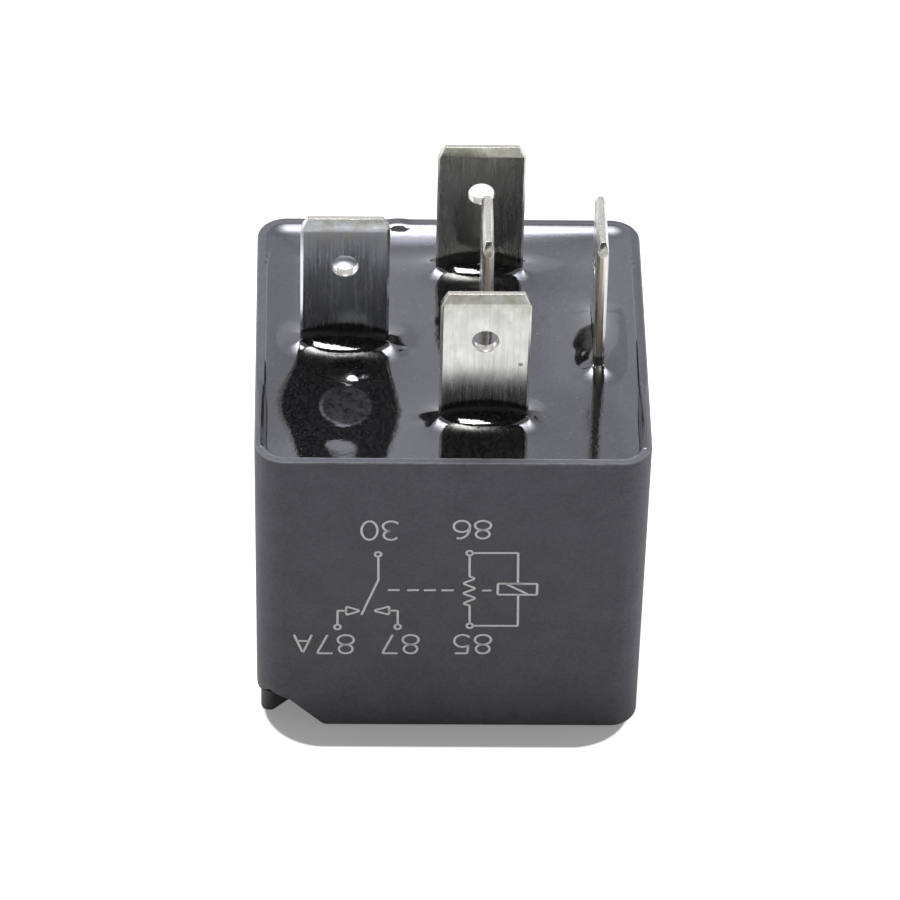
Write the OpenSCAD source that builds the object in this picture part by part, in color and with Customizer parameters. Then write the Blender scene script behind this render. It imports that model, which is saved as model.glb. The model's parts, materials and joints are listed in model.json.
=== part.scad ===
// Sealed plug-in changeover relay, standing on its closed case end with the blades up.
// Millimetres. +Z runs from the closed end to the blade tips, -Y is the printed front.

/* [Case] */
// Case width (X) at the open rim
case_width = 27.8; // [27:0.1:31]
// Case depth (Y) at the open rim
case_depth = 27.8; // [27:0.1:31]
// Case height from the closed end to the rim
case_height = 25; // [23:0.5:30]
// Draft of each side, from rim to closed end
case_draft = 0.2; // [0.05:0.05:0.5]
// Vertical corner radius at the closed end
corner_radius = 2; // [1.6:0.1:4]
// Edge fillet around the closed end
edge_fillet = 0.5; // [0.2:0.1:1]
// Wall thickness of the sides
wall = 0.9; // [0.7:0.05:1.2]
// Thickness of the closed end
floor_wall = 1.2; // [0.8:0.1:2]
// Lead-in chamfer inside the rim
rim_chamfer = 0.3; // [0.1:0.05:0.5]
// Width of the ribs that carry the base
rib_width = 1.2; // [0.8:0.1:2]
// Height of the ribs off the wall
rib_depth = 0.6; // [0.4:0.05:1]

/* [Corner notch] */
// Height of the notch at its peak, in the case corner
notch_height = 3.3; // [2.5:0.05:5]
// Height of the notch where the front face starts
notch_shoulder = 2.65; // [1.5:0.05:4]
// Length of the notch along the front face
notch_length = 5; // [3.5:0.1:6]
// Height of the step beside the post, on the left face
step_height = 2.7; // [1.5:0.1:3.5]
// Depth of the step beside the post
post_inset = 0.27; // [0.1:0.01:0.5]
// Setback of the post behind the front face
post_setback = 1.73; // [1:0.01:2.5]
// Radius of the post's rounded tip
post_radius = 0.6; // [0.4:0.05:0.9]
// Wall kept inside around the notch
notch_wall = 0.9; // [0.7:0.05:1.2]

/* [Resin and base] */
// Drop of the resin level below the rim
resin_drop = 0.1; // [0:0.05:0.5]
// Depth of the resin over the base
resin_depth = 1.8; // [1:0.1:2.5]
// Height of the resin collar around each blade
collar_height = 0.8; // [0.4:0.1:1.2]
// Reach of the resin collar around each blade
collar_reach = 0.9; // [0.5:0.1:1.2]
// Thickness of the base plate
base_thickness = 1.8; // [1.2:0.1:2.5]
// Play of the base in the case, per side
base_play = 0.05; // [0.02:0.01:0.2]
// Play of a blade in its base slot, per side
slot_play = 0.03; // [0.01:0.01:0.1]
// Width of the two rails under the base that locate the yoke
rail_width = 0.9; // [0.6:0.1:1.4]

/* [Blades] */
// Blade width
blade_width = 6.3; // [5.5:0.1:6.8]
// Blade thickness
blade_thickness = 0.8; // [0.6:0.05:1]
// Blade tip height over the rim
blade_reach = 10.8; // [9:0.1:13]
// Detent hole diameter
detent_diameter = 1.85; // [1.4:0.05:2.4]
// Detent hole centre below the tip
detent_drop = 4; // [3:0.1:5]
// Height of the coined tip bevel
tip_bevel = 0.7; // [0.3:0.05:1.2]
// Thickness left at the tip
tip_thickness = 0.4; // [0.2:0.05:0.6]
// Width of the tip corner chamfer
tip_corner = 0.5; // [0.3:0.05:1]
// Height of the tip corner chamfer
tip_corner_height = 1; // [0.5:0.1:1.5]
// Bevel of the long blade edges
edge_bevel = 0.18; // [0.05:0.01:0.25]
// X of the common blade
common_x = -7.6; // [-8.4:0.1:-7]
// X of the two coil blades
coil_blade_x = 2.15; // [1.5:0.05:2.8]
// Half pitch of the two coil blades
coil_blade_y = 8.4; // [8:0.1:9.2]
// X of the normally closed blade
closed_x = 2.4; // [2.2:0.1:3.2]
// X of the normally open blade
open_x = 10.4; // [10:0.1:10.8]

/* [Magnet] */
// Yoke thickness
yoke_thickness = 1.6; // [1.2:0.1:2]
// Yoke width
yoke_width = 12; // [10:0.5:14]
// Inner bend radius of yoke, spring and stampings
bend_radius = 0.4; // [0.2:0.05:0.6]
// Core diameter
core_diameter = 5.6; // [4.5:0.1:6.4]
// Diameter of the core's neck in the yoke
neck_diameter = 4.4; // [3:0.1:4.8]
// Diameter of the staked core end
stake_diameter = 5.2; // [4.9:0.1:5.6]
// Height of the staked core end
stake_rise = 0.5; // [0.3:0.05:0.8]
// Pole face diameter
pole_diameter = 8; // [7:0.5:10]
// Pole face thickness
pole_thickness = 1; // [0.6:0.1:1.5]
// Bobbin flange diameter
flange_diameter = 13; // [12.6:0.1:14]
// Bobbin flange thickness
flange_thickness = 1; // [0.6:0.1:1.4]
// Bobbin barrel wall
barrel_wall = 0.6; // [0.4:0.05:1]
// Winding diameter
winding_diameter = 12.4; // [10:0.1:12.6]
// Air between bobbin flange and yoke
coil_gap = 0.9; // [0.4:0.1:1.2]
// Armature thickness
armature_thickness = 1.4; // [1:0.1:2]
// Armature width
armature_width = 11; // [9:0.5:13]

/* [Contacts] */
// Open gap of the changeover contact
contact_gap = 0.6; // [0.4:0.05:0.9]
// Air left between contacts that touch
contact_touch = 0.04; // [0.02:0.01:0.08]
// Distance of the contacts from the normally open blade
contact_setback = 3.1; // [2.8:0.1:3.6]
// Contact head diameter
contact_diameter = 3; // [2.4:0.1:3.4]
// Fixed contact head height
contact_head = 0.6; // [0.4:0.05:0.8]
// Moving contact head height
moving_head = 0.5; // [0.3:0.05:0.7]
// Contact rivet shank diameter
shank_diameter = 1.6; // [1.2:0.1:2]
// Width of the contact arms
arm_width = 5; // [4:0.1:6]
// Lift of the lower contact arm off the closed end
arm_lift = 0.7; // [0.5:0.05:1.2]
// Contact spring thickness
spring_thickness = 0.25; // [0.15:0.01:0.35]
// Contact spring width at the yoke
spring_width = 8; // [7.6:0.1:10]
// Contact spring width at the contact
spring_tip_width = 4.4; // [3.6:0.1:6]
// Height of the spring's leg on the yoke
spring_leg = 10.8; // [9:0.1:13]
// Rivet head diameter
rivet_head = 2.2; // [1.8:0.1:2.4]
// Rivet head height
rivet_rise = 0.45; // [0.3:0.05:0.6]
// Rivet shank diameter
rivet_shank = 1.4; // [1:0.1:1.6]
// Distance between the two rivets of a pair
rivet_pitch = 5.2; // [4:0.1:5.4]

/* [Wires] */
// Resistor diameter
resistor_diameter = 2.4; // [1.8:0.1:3.4]
// Resistor length
resistor_length = 6.4; // [5:0.1:8]
// Resistor wire diameter
resistor_wire = 0.6; // [0.4:0.05:0.7]
// Coil wire diameter
coil_wire = 0.3; // [0.16:0.02:0.4]
// Solder joint radius
solder_radius = 1; // [0.9:0.05:1.3]
// Width of the coil terminals' posts
post_width = 2; // [1.4:0.1:3]

/* [Output] */
// Piece to draw, or all of them

/* [Hidden] */
$fn = 48;

// Overrun of cutting tools past the stock
over = 1;
// Overlap of two stretches that are one piece
weld = 0.5;
// Air between the inner parts and the case wall
wall_gap = 0.4;
// Air between stampings of different polarity
insulation = 1;
// Metal left beside a hole, an edge or a head
margin = 0.8;

// Case, half sizes at the closed end and how they grow with height
taper = case_draft / case_height;
foot_x = case_width / 2 - case_draft;
foot_y = case_depth / 2 - case_draft;
inner_x = foot_x - wall;
inner_y = foot_y - wall;
inner_radius = corner_radius - wall;
inner_fillet = min(edge_fillet, inner_radius / 2);
chamfer_z = case_height - rim_chamfer;

// Rounded post in the notch: centre of its tip
post_x = -foot_x + post_inset + post_radius;
post_y = -foot_y + post_setback + post_radius;

// Levels from the rim down
tip_z = case_height + blade_reach;
detent_z = tip_z - detent_drop;
resin_z = case_height - resin_drop;
base_top_z = resin_z - resin_depth;
base_z = base_top_z - base_thickness;
strap_z = base_z - bend_radius - blade_thickness;
limb_z = strap_z - yoke_thickness;
winding_top_z = limb_z - flange_thickness;

// Levels from the closed end up
closed_arm_z = floor_wall + arm_lift;
closed_face_z = closed_arm_z + blade_thickness + contact_head;
moving_z = closed_face_z + contact_touch;
spring_z = moving_z + moving_head;
armature_z = spring_z + spring_thickness;
armature_top_z = armature_z + armature_thickness;
moving_top_z = armature_z + moving_head;
open_face_z = moving_top_z + contact_gap;
open_arm_z = open_face_z + contact_head;
hinge_gap = 0.05;
yoke_foot_z = armature_top_z + hinge_gap;

// Places along X, from the left case wall to the right one
yoke_out_x = -(inner_x - wall_gap - rivet_rise - spring_thickness);
spring_out_x = yoke_out_x - spring_thickness;
pivot_x = yoke_out_x + yoke_thickness;
coil_x = pivot_x + coil_gap + flange_diameter / 2;
yoke_end_x = coil_x + neck_diameter / 2 + margin;
armature_start_x = yoke_out_x + bend_radius;
armature_end_x = coil_x + pole_diameter / 2 + margin;
contact_x = open_x - contact_setback;
arm_end_x = contact_x - shank_diameter / 2 - margin;
spring_end_x = contact_x + shank_diameter / 2 + margin;
closed_wall_x = inner_x - wall_gap;

// The armature swings by this angle until the open contact closes
swing_reach = contact_x + contact_diameter / 2 - pivot_x;
swing_angle = asin((contact_gap - contact_touch) / swing_reach);
pole_air = 0.06;
pole_gap = (coil_x + pole_diameter / 2 - pivot_x) * tan(swing_angle) + pole_air;
pole_z = armature_top_z + pole_gap;
bobbin_z = pole_z + pole_thickness;
winding_z = bobbin_z + flange_thickness;
bore_play = 0.05;
barrel_radius = core_diameter / 2 + bore_play + barrel_wall;

// Rivets of the contact spring
yoke_rivet_z = spring_z + spring_leg - rivet_head / 2 - margin;
armature_rivet_x = pivot_x + yoke_thickness + rivet_head;

// Stampings
post_face_y = coil_blade_y - blade_thickness / 2;
strap_front_y = -post_face_y + insulation;
strap_width = -strap_front_y - blade_width / 2 - insulation;
strap_y = strap_front_y + strap_width / 2;
strap_tab = blade_thickness + bend_radius + 2;
foot_width = 4.2;
foot_reach = 5;
foot_mid_x = coil_x - stake_diameter / 2 - wall_gap - foot_width / 2;

// Wires, hung from the top of the winding
coil_wire_z = winding_top_z - 2;
wire_z = coil_wire_z + 1;
post_z = coil_wire_z - margin;
wire_bend = 0.8;
// Film of solder between a resistor wire and its post
solder_film = 0.05;
resistor_x = (coil_x + flange_diameter / 2 + open_x - blade_thickness / 2) / 2;

// Colours
case_colour = [0.16, 0.16, 0.17];
resin_colour = [0.1, 0.1, 0.12];
tin_colour = [0.78, 0.77, 0.74];
iron_colour = [0.55, 0.55, 0.57];
copper_colour = [0.72, 0.42, 0.24];
spring_colour = [0.8, 0.58, 0.36];
silver_colour = [0.86, 0.86, 0.85];
bobbin_colour = [0.2, 0.22, 0.25];
resistor_colour = [0.35, 0.5, 0.6];

// Half outline of a case side: a flank that leans out by slope, with a filleted foot
module flank(half, fillet, low, high, slope) {
    difference() {
        polygon([
            [0, low],
            [half + low * slope, low],
            [half + high * slope, high],
            [0, high]
        ]);
        if (fillet > 0) {
            translate([half + (low + fillet) * slope - fillet, low])
                difference() {
                    square([fillet + over, fillet]);
                    translate([0, fillet]) circle(fillet);
                }
        }
    }
}

// Drafted block with rounded uprights; its half sizes are those at z = 0
module drafted_block(half_x, half_y, radius, fillet, low, high, slope) {
    centre_x = half_x - radius;
    centre_y = half_y - radius;
    for (side = [0, 1]) {
        mirror([side, 0, 0]) {
            rotate([90, 0, 0])
                linear_extrude(height = 2 * centre_y, center = true)
                    flank(half_x, fillet, low, high, slope);
            for (end = [0, 1]) {
                mirror([0, end, 0])
                    translate([centre_x, centre_y, 0])
                        rotate_extrude(angle = 90)
                            flank(radius, fillet, low, high, slope);
            }
        }
    }
    for (turn = [90, 270]) {
        rotate([90, 0, turn])
            linear_extrude(height = 2 * centre_x, center = true)
                flank(half_y, fillet, low, high, slope);
    }
}

// Inside of the case between two levels, less a play all round
module case_inside(play, fillet, low, high) {
    drafted_block(inner_x - play, inner_y - play, inner_radius - play, fillet, low, high, taper);
}

// Lead-in flare inside the rim, from the chamfer's foot up
module rim_flare(high) {
    shift = chamfer_z * taper - chamfer_z;
    drafted_block(inner_x + shift, inner_y + shift, inner_radius + shift, 0, chamfer_z, high, 1);
}

// Roof of the notch: up from the front edge to a shoulder, then flatter to a peak in the corner
module notch_roof(grow) {
    peak_x = over + post_inset + post_radius;
    shoulder_x = over + min(corner_radius + post_inset, notch_length / 2);
    rotate([90, 0, 0])
        translate([-foot_x - over, 0])
            linear_extrude(height = foot_y + over)
                polygon([
                    [0, -over],
                    [0, step_height + grow],
                    [over + post_inset, step_height + grow],
                    [peak_x, notch_height + grow],
                    [shoulder_x, notch_shoulder + grow],
                    [over + notch_length + 2 * grow, 0],
                    [over + notch_length + 2 * grow, -over]
                ]);
}

// Plan of the notch: the corner in front of and beside the round-tipped post
module notch_plan(grow) {
    radius = post_radius - grow / 2;
    diagonal = radius / sqrt(2);
    back_y = post_y + notch_length;
    difference() {
        translate([-foot_x - over, -foot_y - over])
            square([2 * over + 2 * notch_length, back_y + foot_y + over - notch_length / 2]);
        translate([post_x + grow / 2, post_y + grow]) {
            circle(radius);
            polygon([
                [-radius, 0],
                [diagonal, -diagonal],
                [diagonal + 2 * notch_length, 2 * notch_length - diagonal],
                [-radius, 2 * notch_length]
            ]);
        }
    }
}

module notch(grow) {
    intersection() {
        notch_roof(grow);
        translate([0, 0, -over])
            linear_extrude(height = case_height)
                notch_plan(grow);
    }
}

// Ribs up the inside of the walls, under the base
module base_ribs() {
    rib_x = inner_x - 2 * corner_radius;
    rib_y = inner_y - 2 * corner_radius;
    wall_x = inner_x + taper * base_z;
    wall_y = inner_y + taper * base_z;
    for (side = [-1, 1]) {
        for (end = [-1, 1]) {
            translate([side * rib_x - rib_width / 2, end * wall_y - rib_depth, floor_wall])
                cube([rib_width, 2 * rib_depth, base_z - floor_wall]);
            translate([side * wall_x - rib_depth, end * rib_y - rib_width / 2, floor_wall])
                cube([2 * rib_depth, rib_width, base_z - floor_wall]);
        }
    }
}

module cover() {
    color(case_colour)
        difference() {
            drafted_block(foot_x, foot_y, corner_radius, edge_fillet, 0, case_height, taper);
            difference() {
                case_inside(0, inner_fillet, floor_wall, case_height + over);
                notch(notch_wall);
                base_ribs();
            }
            rim_flare(case_height + over);
            notch(0);
        }
}

// Puts its child at each of the five blade places, turned to its blade
module at_blades() {
    translate([common_x, 0, 0]) children();
    translate([coil_blade_x, -coil_blade_y, 0]) children();
    translate([coil_blade_x, coil_blade_y, 0]) children();
    translate([closed_x, 0, 0]) rotate([0, 0, 90]) children();
    translate([open_x, 0, 0]) rotate([0, 0, 90]) children();
}

module base() {
    rail_y = yoke_width / 2 + slot_play + rail_width / 2;
    color(case_colour)
        difference() {
            union() {
                case_inside(base_play, 0, base_z, base_top_z);
                for (side = [-1, 1]) {
                    translate([pivot_x, side * rail_y - rail_width / 2, strap_z - margin])
                        cube([coil_x - pivot_x, rail_width, base_z - strap_z + margin + weld]);
                }
            }
            at_blades()
                cube([blade_width + 2 * slot_play, blade_thickness + 2 * slot_play, 2 * case_height], center = true);
        }
}

// Hollow outline of a resin collar: steep at the blade, running out at its foot
module collar_outline(half) {
    steps = [0, 0.15, 0.4, 1];
    rise = [for (s = steps) collar_height * pow(1 - s, 2)];
    right = [for (i = [0:len(steps) - 1]) [half + collar_reach * steps[i], resin_z + rise[i]]];
    left = [for (i = [len(steps) - 1:-1:0]) [-right[i][0], right[i][1]]];
    foot = half + collar_reach;
    polygon(concat(right, [[foot, resin_z - weld], [-foot, resin_z - weld]], left));
}

module resin_collar() {
    span = 2 * blade_width;
    intersection() {
        rotate([90, 0, 0])
            linear_extrude(height = span, center = true)
                collar_outline(blade_width / 2);
        rotate([90, 0, 90])
            linear_extrude(height = span, center = true)
                collar_outline(blade_thickness / 2);
    }
}

module potting() {
    color(resin_colour)
        difference() {
            union() {
                intersection() {
                    union() {
                        case_inside(0, 0, base_top_z, case_height);
                        rim_flare(case_height);
                    }
                    translate([-case_width, -case_depth, base_top_z])
                        cube([2 * case_width, 2 * case_depth, resin_depth]);
                }
                at_blades() resin_collar();
            }
            at_blades() blade_section(base_z, tip_z);
        }
}

// Blade section with bevelled long edges, wide along X
module blade_section(low, high) {
    half_w = blade_width / 2;
    half_t = blade_thickness / 2;
    translate([0, 0, low])
        linear_extrude(height = high - low)
            polygon([
                [-half_w, -half_t + edge_bevel],
                [-half_w + edge_bevel, -half_t],
                [half_w - edge_bevel, -half_t],
                [half_w, -half_t + edge_bevel],
                [half_w, half_t - edge_bevel],
                [half_w - edge_bevel, half_t],
                [-half_w + edge_bevel, half_t],
                [-half_w, half_t - edge_bevel]
            ]);
}

// Outline with a tip that narrows from half to tip_half over the height drop
module tip_outline(half, tip_half, drop, low) {
    polygon([
        [-half, low],
        [half, low],
        [half, tip_z - drop],
        [tip_half, tip_z],
        [-tip_half, tip_z],
        [-half, tip_z - drop]
    ]);
}

// Blade with coined tip and detent hole, wide along X
module blade(low) {
    difference() {
        intersection() {
            blade_section(low, tip_z);
            rotate([90, 0, 0])
                linear_extrude(height = 2 * blade_thickness, center = true)
                    tip_outline(blade_width / 2, blade_width / 2 - tip_corner, tip_corner_height, low);
            rotate([90, 0, 90])
                linear_extrude(height = 2 * blade_width, center = true)
                    tip_outline(blade_thickness / 2, tip_thickness / 2, tip_bevel, low);
        }
        translate([0, 0, detent_z])
            rotate([90, 0, 0])
                cylinder(d = detent_diameter, h = 2 * blade_thickness, center = true);
    }
}

// Bent strip in its own plane: outer corner at the origin, legs along +X and +Y
module bend_profile(along, up, thickness) {
    outer = bend_radius + thickness;
    translate([outer, 0]) square([along - outer, thickness]);
    translate([0, outer]) square([thickness, up - outer]);
    intersection() {
        translate([outer, outer])
            difference() {
                circle(outer);
                circle(bend_radius);
            }
        square([outer, outer]);
    }
}

// Bent strip with its legs along +X and +Z, of a width along Y
module bent_strip(along, up, thickness, width) {
    rotate([90, 0, 0])
        linear_extrude(height = width, center = true)
            bend_profile(along, up, thickness);
}

module terminal_30() {
    color(tin_colour) {
        translate([common_x, 0, 0]) blade(base_z);
        translate([foot_mid_x, -blade_thickness / 2, strap_z])
            rotate([0, 0, 90])
                bent_strip(foot_reach, base_z - strap_z + weld, blade_thickness, foot_width);
    }
}

module coil_terminal() {
    color(tin_colour) {
        blade(base_z);
        translate([-post_width / 2, -blade_thickness / 2, post_z])
            cube([post_width, blade_thickness, base_z - post_z + weld]);
    }
}

module terminal_85() {
    translate([coil_blade_x, -coil_blade_y, 0]) coil_terminal();
}

module terminal_86() {
    translate([coil_blade_x, coil_blade_y, 0]) coil_terminal();
}

module terminal_87() {
    limb_x = open_x + blade_thickness / 2;
    color(tin_colour)
        difference() {
            union() {
                translate([open_x, 0, 0]) rotate([0, 0, 90]) blade(base_z);
                translate([limb_x, 0, open_arm_z])
                    mirror([1, 0, 0])
                        bent_strip(limb_x - arm_end_x, base_z - open_arm_z + weld, blade_thickness, arm_width);
            }
            translate([contact_x, 0, open_arm_z - over])
                cylinder(d = shank_diameter, h = blade_thickness + 2 * over);
        }
}

// From the blade's foot across to the right wall, down it, and in under the contact
module terminal_87a() {
    blade_left_x = closed_x - blade_thickness / 2;
    strap_top_z = strap_z + blade_thickness;
    middle_z = (closed_arm_z + strap_top_z) / 2;
    color(tin_colour)
        difference() {
            union() {
                translate([closed_x, 0, 0]) rotate([0, 0, 90]) blade(base_z);
                translate([blade_left_x, 0, strap_z])
                    bent_strip(strap_tab, base_z - strap_z + weld, blade_thickness, blade_width - 2 * edge_bevel);
                translate([blade_left_x, strap_front_y, strap_z])
                    cube([strap_tab, -strap_front_y - blade_width / 2 + weld, blade_thickness]);
                translate([closed_wall_x, strap_y, strap_top_z])
                    rotate([0, 180, 0])
                        bent_strip(closed_wall_x - closed_x, strap_top_z - middle_z, blade_thickness, strap_width);
                translate([closed_wall_x, strap_y, closed_arm_z])
                    mirror([1, 0, 0])
                        bent_strip(closed_wall_x - arm_end_x, middle_z - closed_arm_z, blade_thickness, strap_width);
                translate([arm_end_x, strap_front_y, closed_arm_z])
                    cube([
                        spring_end_x - arm_end_x,
                        shank_diameter / 2 + margin - strap_front_y,
                        blade_thickness
                    ]);
            }
            translate([contact_x, 0, closed_arm_z - over])
                cylinder(d = shank_diameter, h = blade_thickness + 2 * over);
        }
}

module bobbin() {
    color(bobbin_colour)
        translate([coil_x, 0, bobbin_z])
            difference() {
                union() {
                    cylinder(d = flange_diameter, h = flange_thickness);
                    cylinder(r = barrel_radius, h = limb_z - bobbin_z);
                    translate([0, 0, winding_top_z - bobbin_z])
                        cylinder(d = flange_diameter, h = flange_thickness);
                }
                translate([0, 0, -over])
                    cylinder(d = core_diameter + 2 * bore_play, h = limb_z - bobbin_z + 2 * over);
            }
}

module winding() {
    height = winding_top_z - winding_z;
    color(copper_colour)
        translate([coil_x, 0, winding_z])
            difference() {
                cylinder(d = winding_diameter, h = height);
                translate([0, 0, -over])
                    cylinder(r = barrel_radius, h = height + 2 * over);
            }
}

// Pole face, shank, neck in the yoke, and the end staked over it
module core() {
    color(iron_colour)
        translate([coil_x, 0, 0])
            rotate_extrude()
                polygon([
                    [0, pole_z],
                    [pole_diameter / 2, pole_z],
                    [pole_diameter / 2, bobbin_z],
                    [core_diameter / 2, bobbin_z],
                    [core_diameter / 2, limb_z],
                    [neck_diameter / 2, limb_z],
                    [neck_diameter / 2, strap_z],
                    [stake_diameter / 2, strap_z],
                    [neck_diameter / 2, strap_z + stake_rise],
                    [0, strap_z + stake_rise]
                ]);
}

// Puts its child at both rivets of a pair
module at_rivet_pair() {
    for (side = [-1, 1]) {
        translate([0, side * rivet_pitch / 2, 0]) children();
    }
}

module yoke() {
    color(iron_colour)
        difference() {
            translate([yoke_out_x, 0, strap_z])
                mirror([0, 0, 1])
                    bent_strip(yoke_end_x - yoke_out_x, strap_z - yoke_foot_z, yoke_thickness, yoke_width);
            translate([coil_x, 0, limb_z - over])
                cylinder(d = neck_diameter, h = yoke_thickness + 2 * over);
            at_rivet_pair()
                translate([yoke_out_x - over, 0, yoke_rivet_z])
                    rotate([0, 90, 0])
                        cylinder(d = rivet_shank, h = yoke_thickness + 2 * over);
        }
}

module armature() {
    color(iron_colour)
        difference() {
            translate([armature_start_x, -armature_width / 2, armature_z])
                cube([armature_end_x - armature_start_x, armature_width, armature_thickness]);
            at_rivet_pair()
                translate([armature_rivet_x, 0, armature_z - over])
                    cylinder(d = rivet_shank, h = armature_thickness + 2 * over);
        }
}

// Leaf bent round the yoke's lower edge, narrowed towards the contact
module contact_spring() {
    root = spring_width / 2;
    tip = spring_tip_width / 2;
    neck_x = contact_x - contact_diameter;
    color(spring_colour)
        difference() {
            intersection() {
                translate([spring_out_x, 0, spring_z])
                    bent_strip(spring_end_x - spring_out_x, spring_leg, spring_thickness, spring_width);
                linear_extrude(height = case_height)
                    polygon([
                        [spring_out_x, -root],
                        [coil_x, -root],
                        [neck_x, -tip],
                        [spring_end_x, -tip],
                        [spring_end_x, tip],
                        [neck_x, tip],
                        [coil_x, root],
                        [spring_out_x, root]
                    ]);
            }
            translate([contact_x, 0, spring_z - over])
                cylinder(d = shank_diameter, h = spring_thickness + 2 * over);
            at_rivet_pair() {
                translate([armature_rivet_x, 0, spring_z - over])
                    cylinder(d = rivet_shank, h = spring_thickness + 2 * over);
                translate([spring_out_x - over, 0, yoke_rivet_z])
                    rotate([0, 90, 0])
                        cylinder(d = rivet_shank, h = spring_thickness + 2 * over);
            }
        }
}

module moving_contact() {
    crown = moving_head / 3;
    color(silver_colour)
        translate([contact_x, 0, 0])
            rotate_extrude()
                polygon([
                    [0, moving_z],
                    [contact_diameter / 2 - crown, moving_z],
                    [contact_diameter / 2, moving_z + crown],
                    [contact_diameter / 2, spring_z],
                    [shank_diameter / 2, spring_z],
                    [shank_diameter / 2, armature_z],
                    [contact_diameter / 2, armature_z],
                    [contact_diameter / 2, moving_top_z - crown],
                    [contact_diameter / 2 - crown, moving_top_z],
                    [0, moving_top_z]
                ]);
}

// Fixed contact rivet: face up at z = 0, shank down through its arm, end spread over
module fixed_contact() {
    crown = contact_head / 3;
    back_z = -contact_head - blade_thickness;
    tail = 0.35;
    color(silver_colour)
        rotate_extrude()
            polygon([
                [0, 0],
                [contact_diameter / 2 - crown, 0],
                [contact_diameter / 2, -crown],
                [contact_diameter / 2, -contact_head],
                [shank_diameter / 2, -contact_head],
                [shank_diameter / 2, back_z],
                [shank_diameter / 2 + tail, back_z],
                [shank_diameter / 2, back_z - tail],
                [0, back_z - tail]
            ]);
}

module contact_no() {
    translate([contact_x, 0, open_face_z]) mirror([0, 0, 1]) fixed_contact();
}

module contact_nc() {
    translate([contact_x, 0, closed_face_z]) fixed_contact();
}

// Rivet with its domed head below z = 0 and its shank up through spring and plate
module spring_rivet(plate) {
    color(iron_colour)
        rotate_extrude()
            polygon([
                [0, -rivet_rise],
                [rivet_shank / 2, -rivet_rise],
                [rivet_head / 2, -rivet_rise / 3],
                [rivet_head / 2, 0],
                [rivet_shank / 2, 0],
                [rivet_shank / 2, spring_thickness + plate],
                [0, spring_thickness + plate]
            ]);
}

module yoke_rivet(side) {
    translate([spring_out_x, side * rivet_pitch / 2, yoke_rivet_z])
        rotate([0, 90, 0])
            spring_rivet(yoke_thickness);
}

module yoke_rivet_front() {
    yoke_rivet(-1);
}

module yoke_rivet_back() {
    yoke_rivet(1);
}

module armature_rivet(side) {
    translate([armature_rivet_x, side * rivet_pitch / 2, spring_z])
        spring_rivet(armature_thickness);
}

module armature_rivet_front() {
    armature_rivet(-1);
}

module armature_rivet_back() {
    armature_rivet(1);
}

// Body with two swollen end caps, along Y
module resistor() {
    full = resistor_diameter / 2;
    waist = full * 0.88;
    half = resistor_length / 2;
    cap = resistor_length / 5;
    step = cap / 3;
    color(resistor_colour)
        translate([resistor_x, 0, wire_z])
            rotate([-90, 0, 0])
                rotate_extrude()
                    polygon([
                        [0, -half],
                        [waist, -half],
                        [full, -half + step],
                        [full, -half + cap],
                        [waist, -half + cap + step],
                        [waist, half - cap - step],
                        [full, half - cap],
                        [full, half - step],
                        [waist, half],
                        [0, half]
                    ]);
}

// Wire from the resistor's end, round one bend, to the back coil post
module resistor_lead() {
    lead_y = post_face_y - solder_film - resistor_wire / 2;
    lead_end_x = coil_blade_x - post_width / 2;
    color(tin_colour)
        translate([0, 0, wire_z]) {
            translate([resistor_x, resistor_length / 2, 0])
                rotate([-90, 0, 0])
                    cylinder(d = resistor_wire, h = lead_y - wire_bend - resistor_length / 2);
            translate([resistor_x - wire_bend, lead_y - wire_bend, 0])
                rotate_extrude(angle = 90)
                    translate([wire_bend, 0]) circle(d = resistor_wire);
            translate([lead_end_x, lead_y, 0])
                rotate([0, 90, 0])
                    cylinder(d = resistor_wire, h = resistor_x - wire_bend - lead_end_x);
        }
}

module resistor_lead_85() {
    mirror([0, 1, 0]) resistor_lead();
}

module resistor_lead_86() {
    resistor_lead();
}

// Straight end of the winding to the back coil post, trimmed to both
module coil_lead() {
    end_y = post_face_y - coil_wire / 2;
    reach = norm([coil_blade_x - coil_x, end_y]);
    start = winding_diameter / 2 - coil_wire;
    color(copper_colour)
        difference() {
            translate([coil_x, 0, coil_wire_z])
                rotate([0, 0, atan2(end_y, coil_blade_x - coil_x)])
                    translate([start, 0, 0])
                        rotate([0, 90, 0])
                            cylinder(d = coil_wire, h = reach - start);
            translate([coil_x, 0, winding_z])
                cylinder(d = winding_diameter, h = winding_top_z - winding_z);
            translate([coil_blade_x - post_width, post_face_y, post_z])
                cube([2 * post_width, blade_thickness, base_z - post_z]);
        }
}

module coil_lead_85() {
    mirror([0, 1, 0]) coil_lead();
}

module coil_lead_86() {
    coil_lead();
}

// Half bead on the back coil post's inner face, round both wire ends
module solder() {
    bead_z = (wire_z + coil_wire_z) / 2;
    color(silver_colour)
        difference() {
            intersection() {
                translate([coil_blade_x, post_face_y, bead_z]) sphere(r = solder_radius);
                translate([coil_blade_x - solder_radius, post_face_y - 2 * solder_radius, bead_z - solder_radius])
                    cube(2 * solder_radius);
            }
            resistor_lead();
            coil_lead();
        }
}

module solder_85() {
    mirror([0, 1, 0]) solder();
}

module solder_86() {
    solder();
}

cover();
base();
potting();
terminal_30();
terminal_85();
terminal_86();
terminal_87();
terminal_87a();
bobbin();
winding();
core();
yoke();
armature();
contact_spring();
moving_contact();
contact_no();
contact_nc();
yoke_rivet_front();
yoke_rivet_back();
armature_rivet_front();
armature_rivet_back();
resistor();
resistor_lead_85();
resistor_lead_86();
coil_lead_85();
coil_lead_86();
solder_85();
solder_86();
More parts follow.
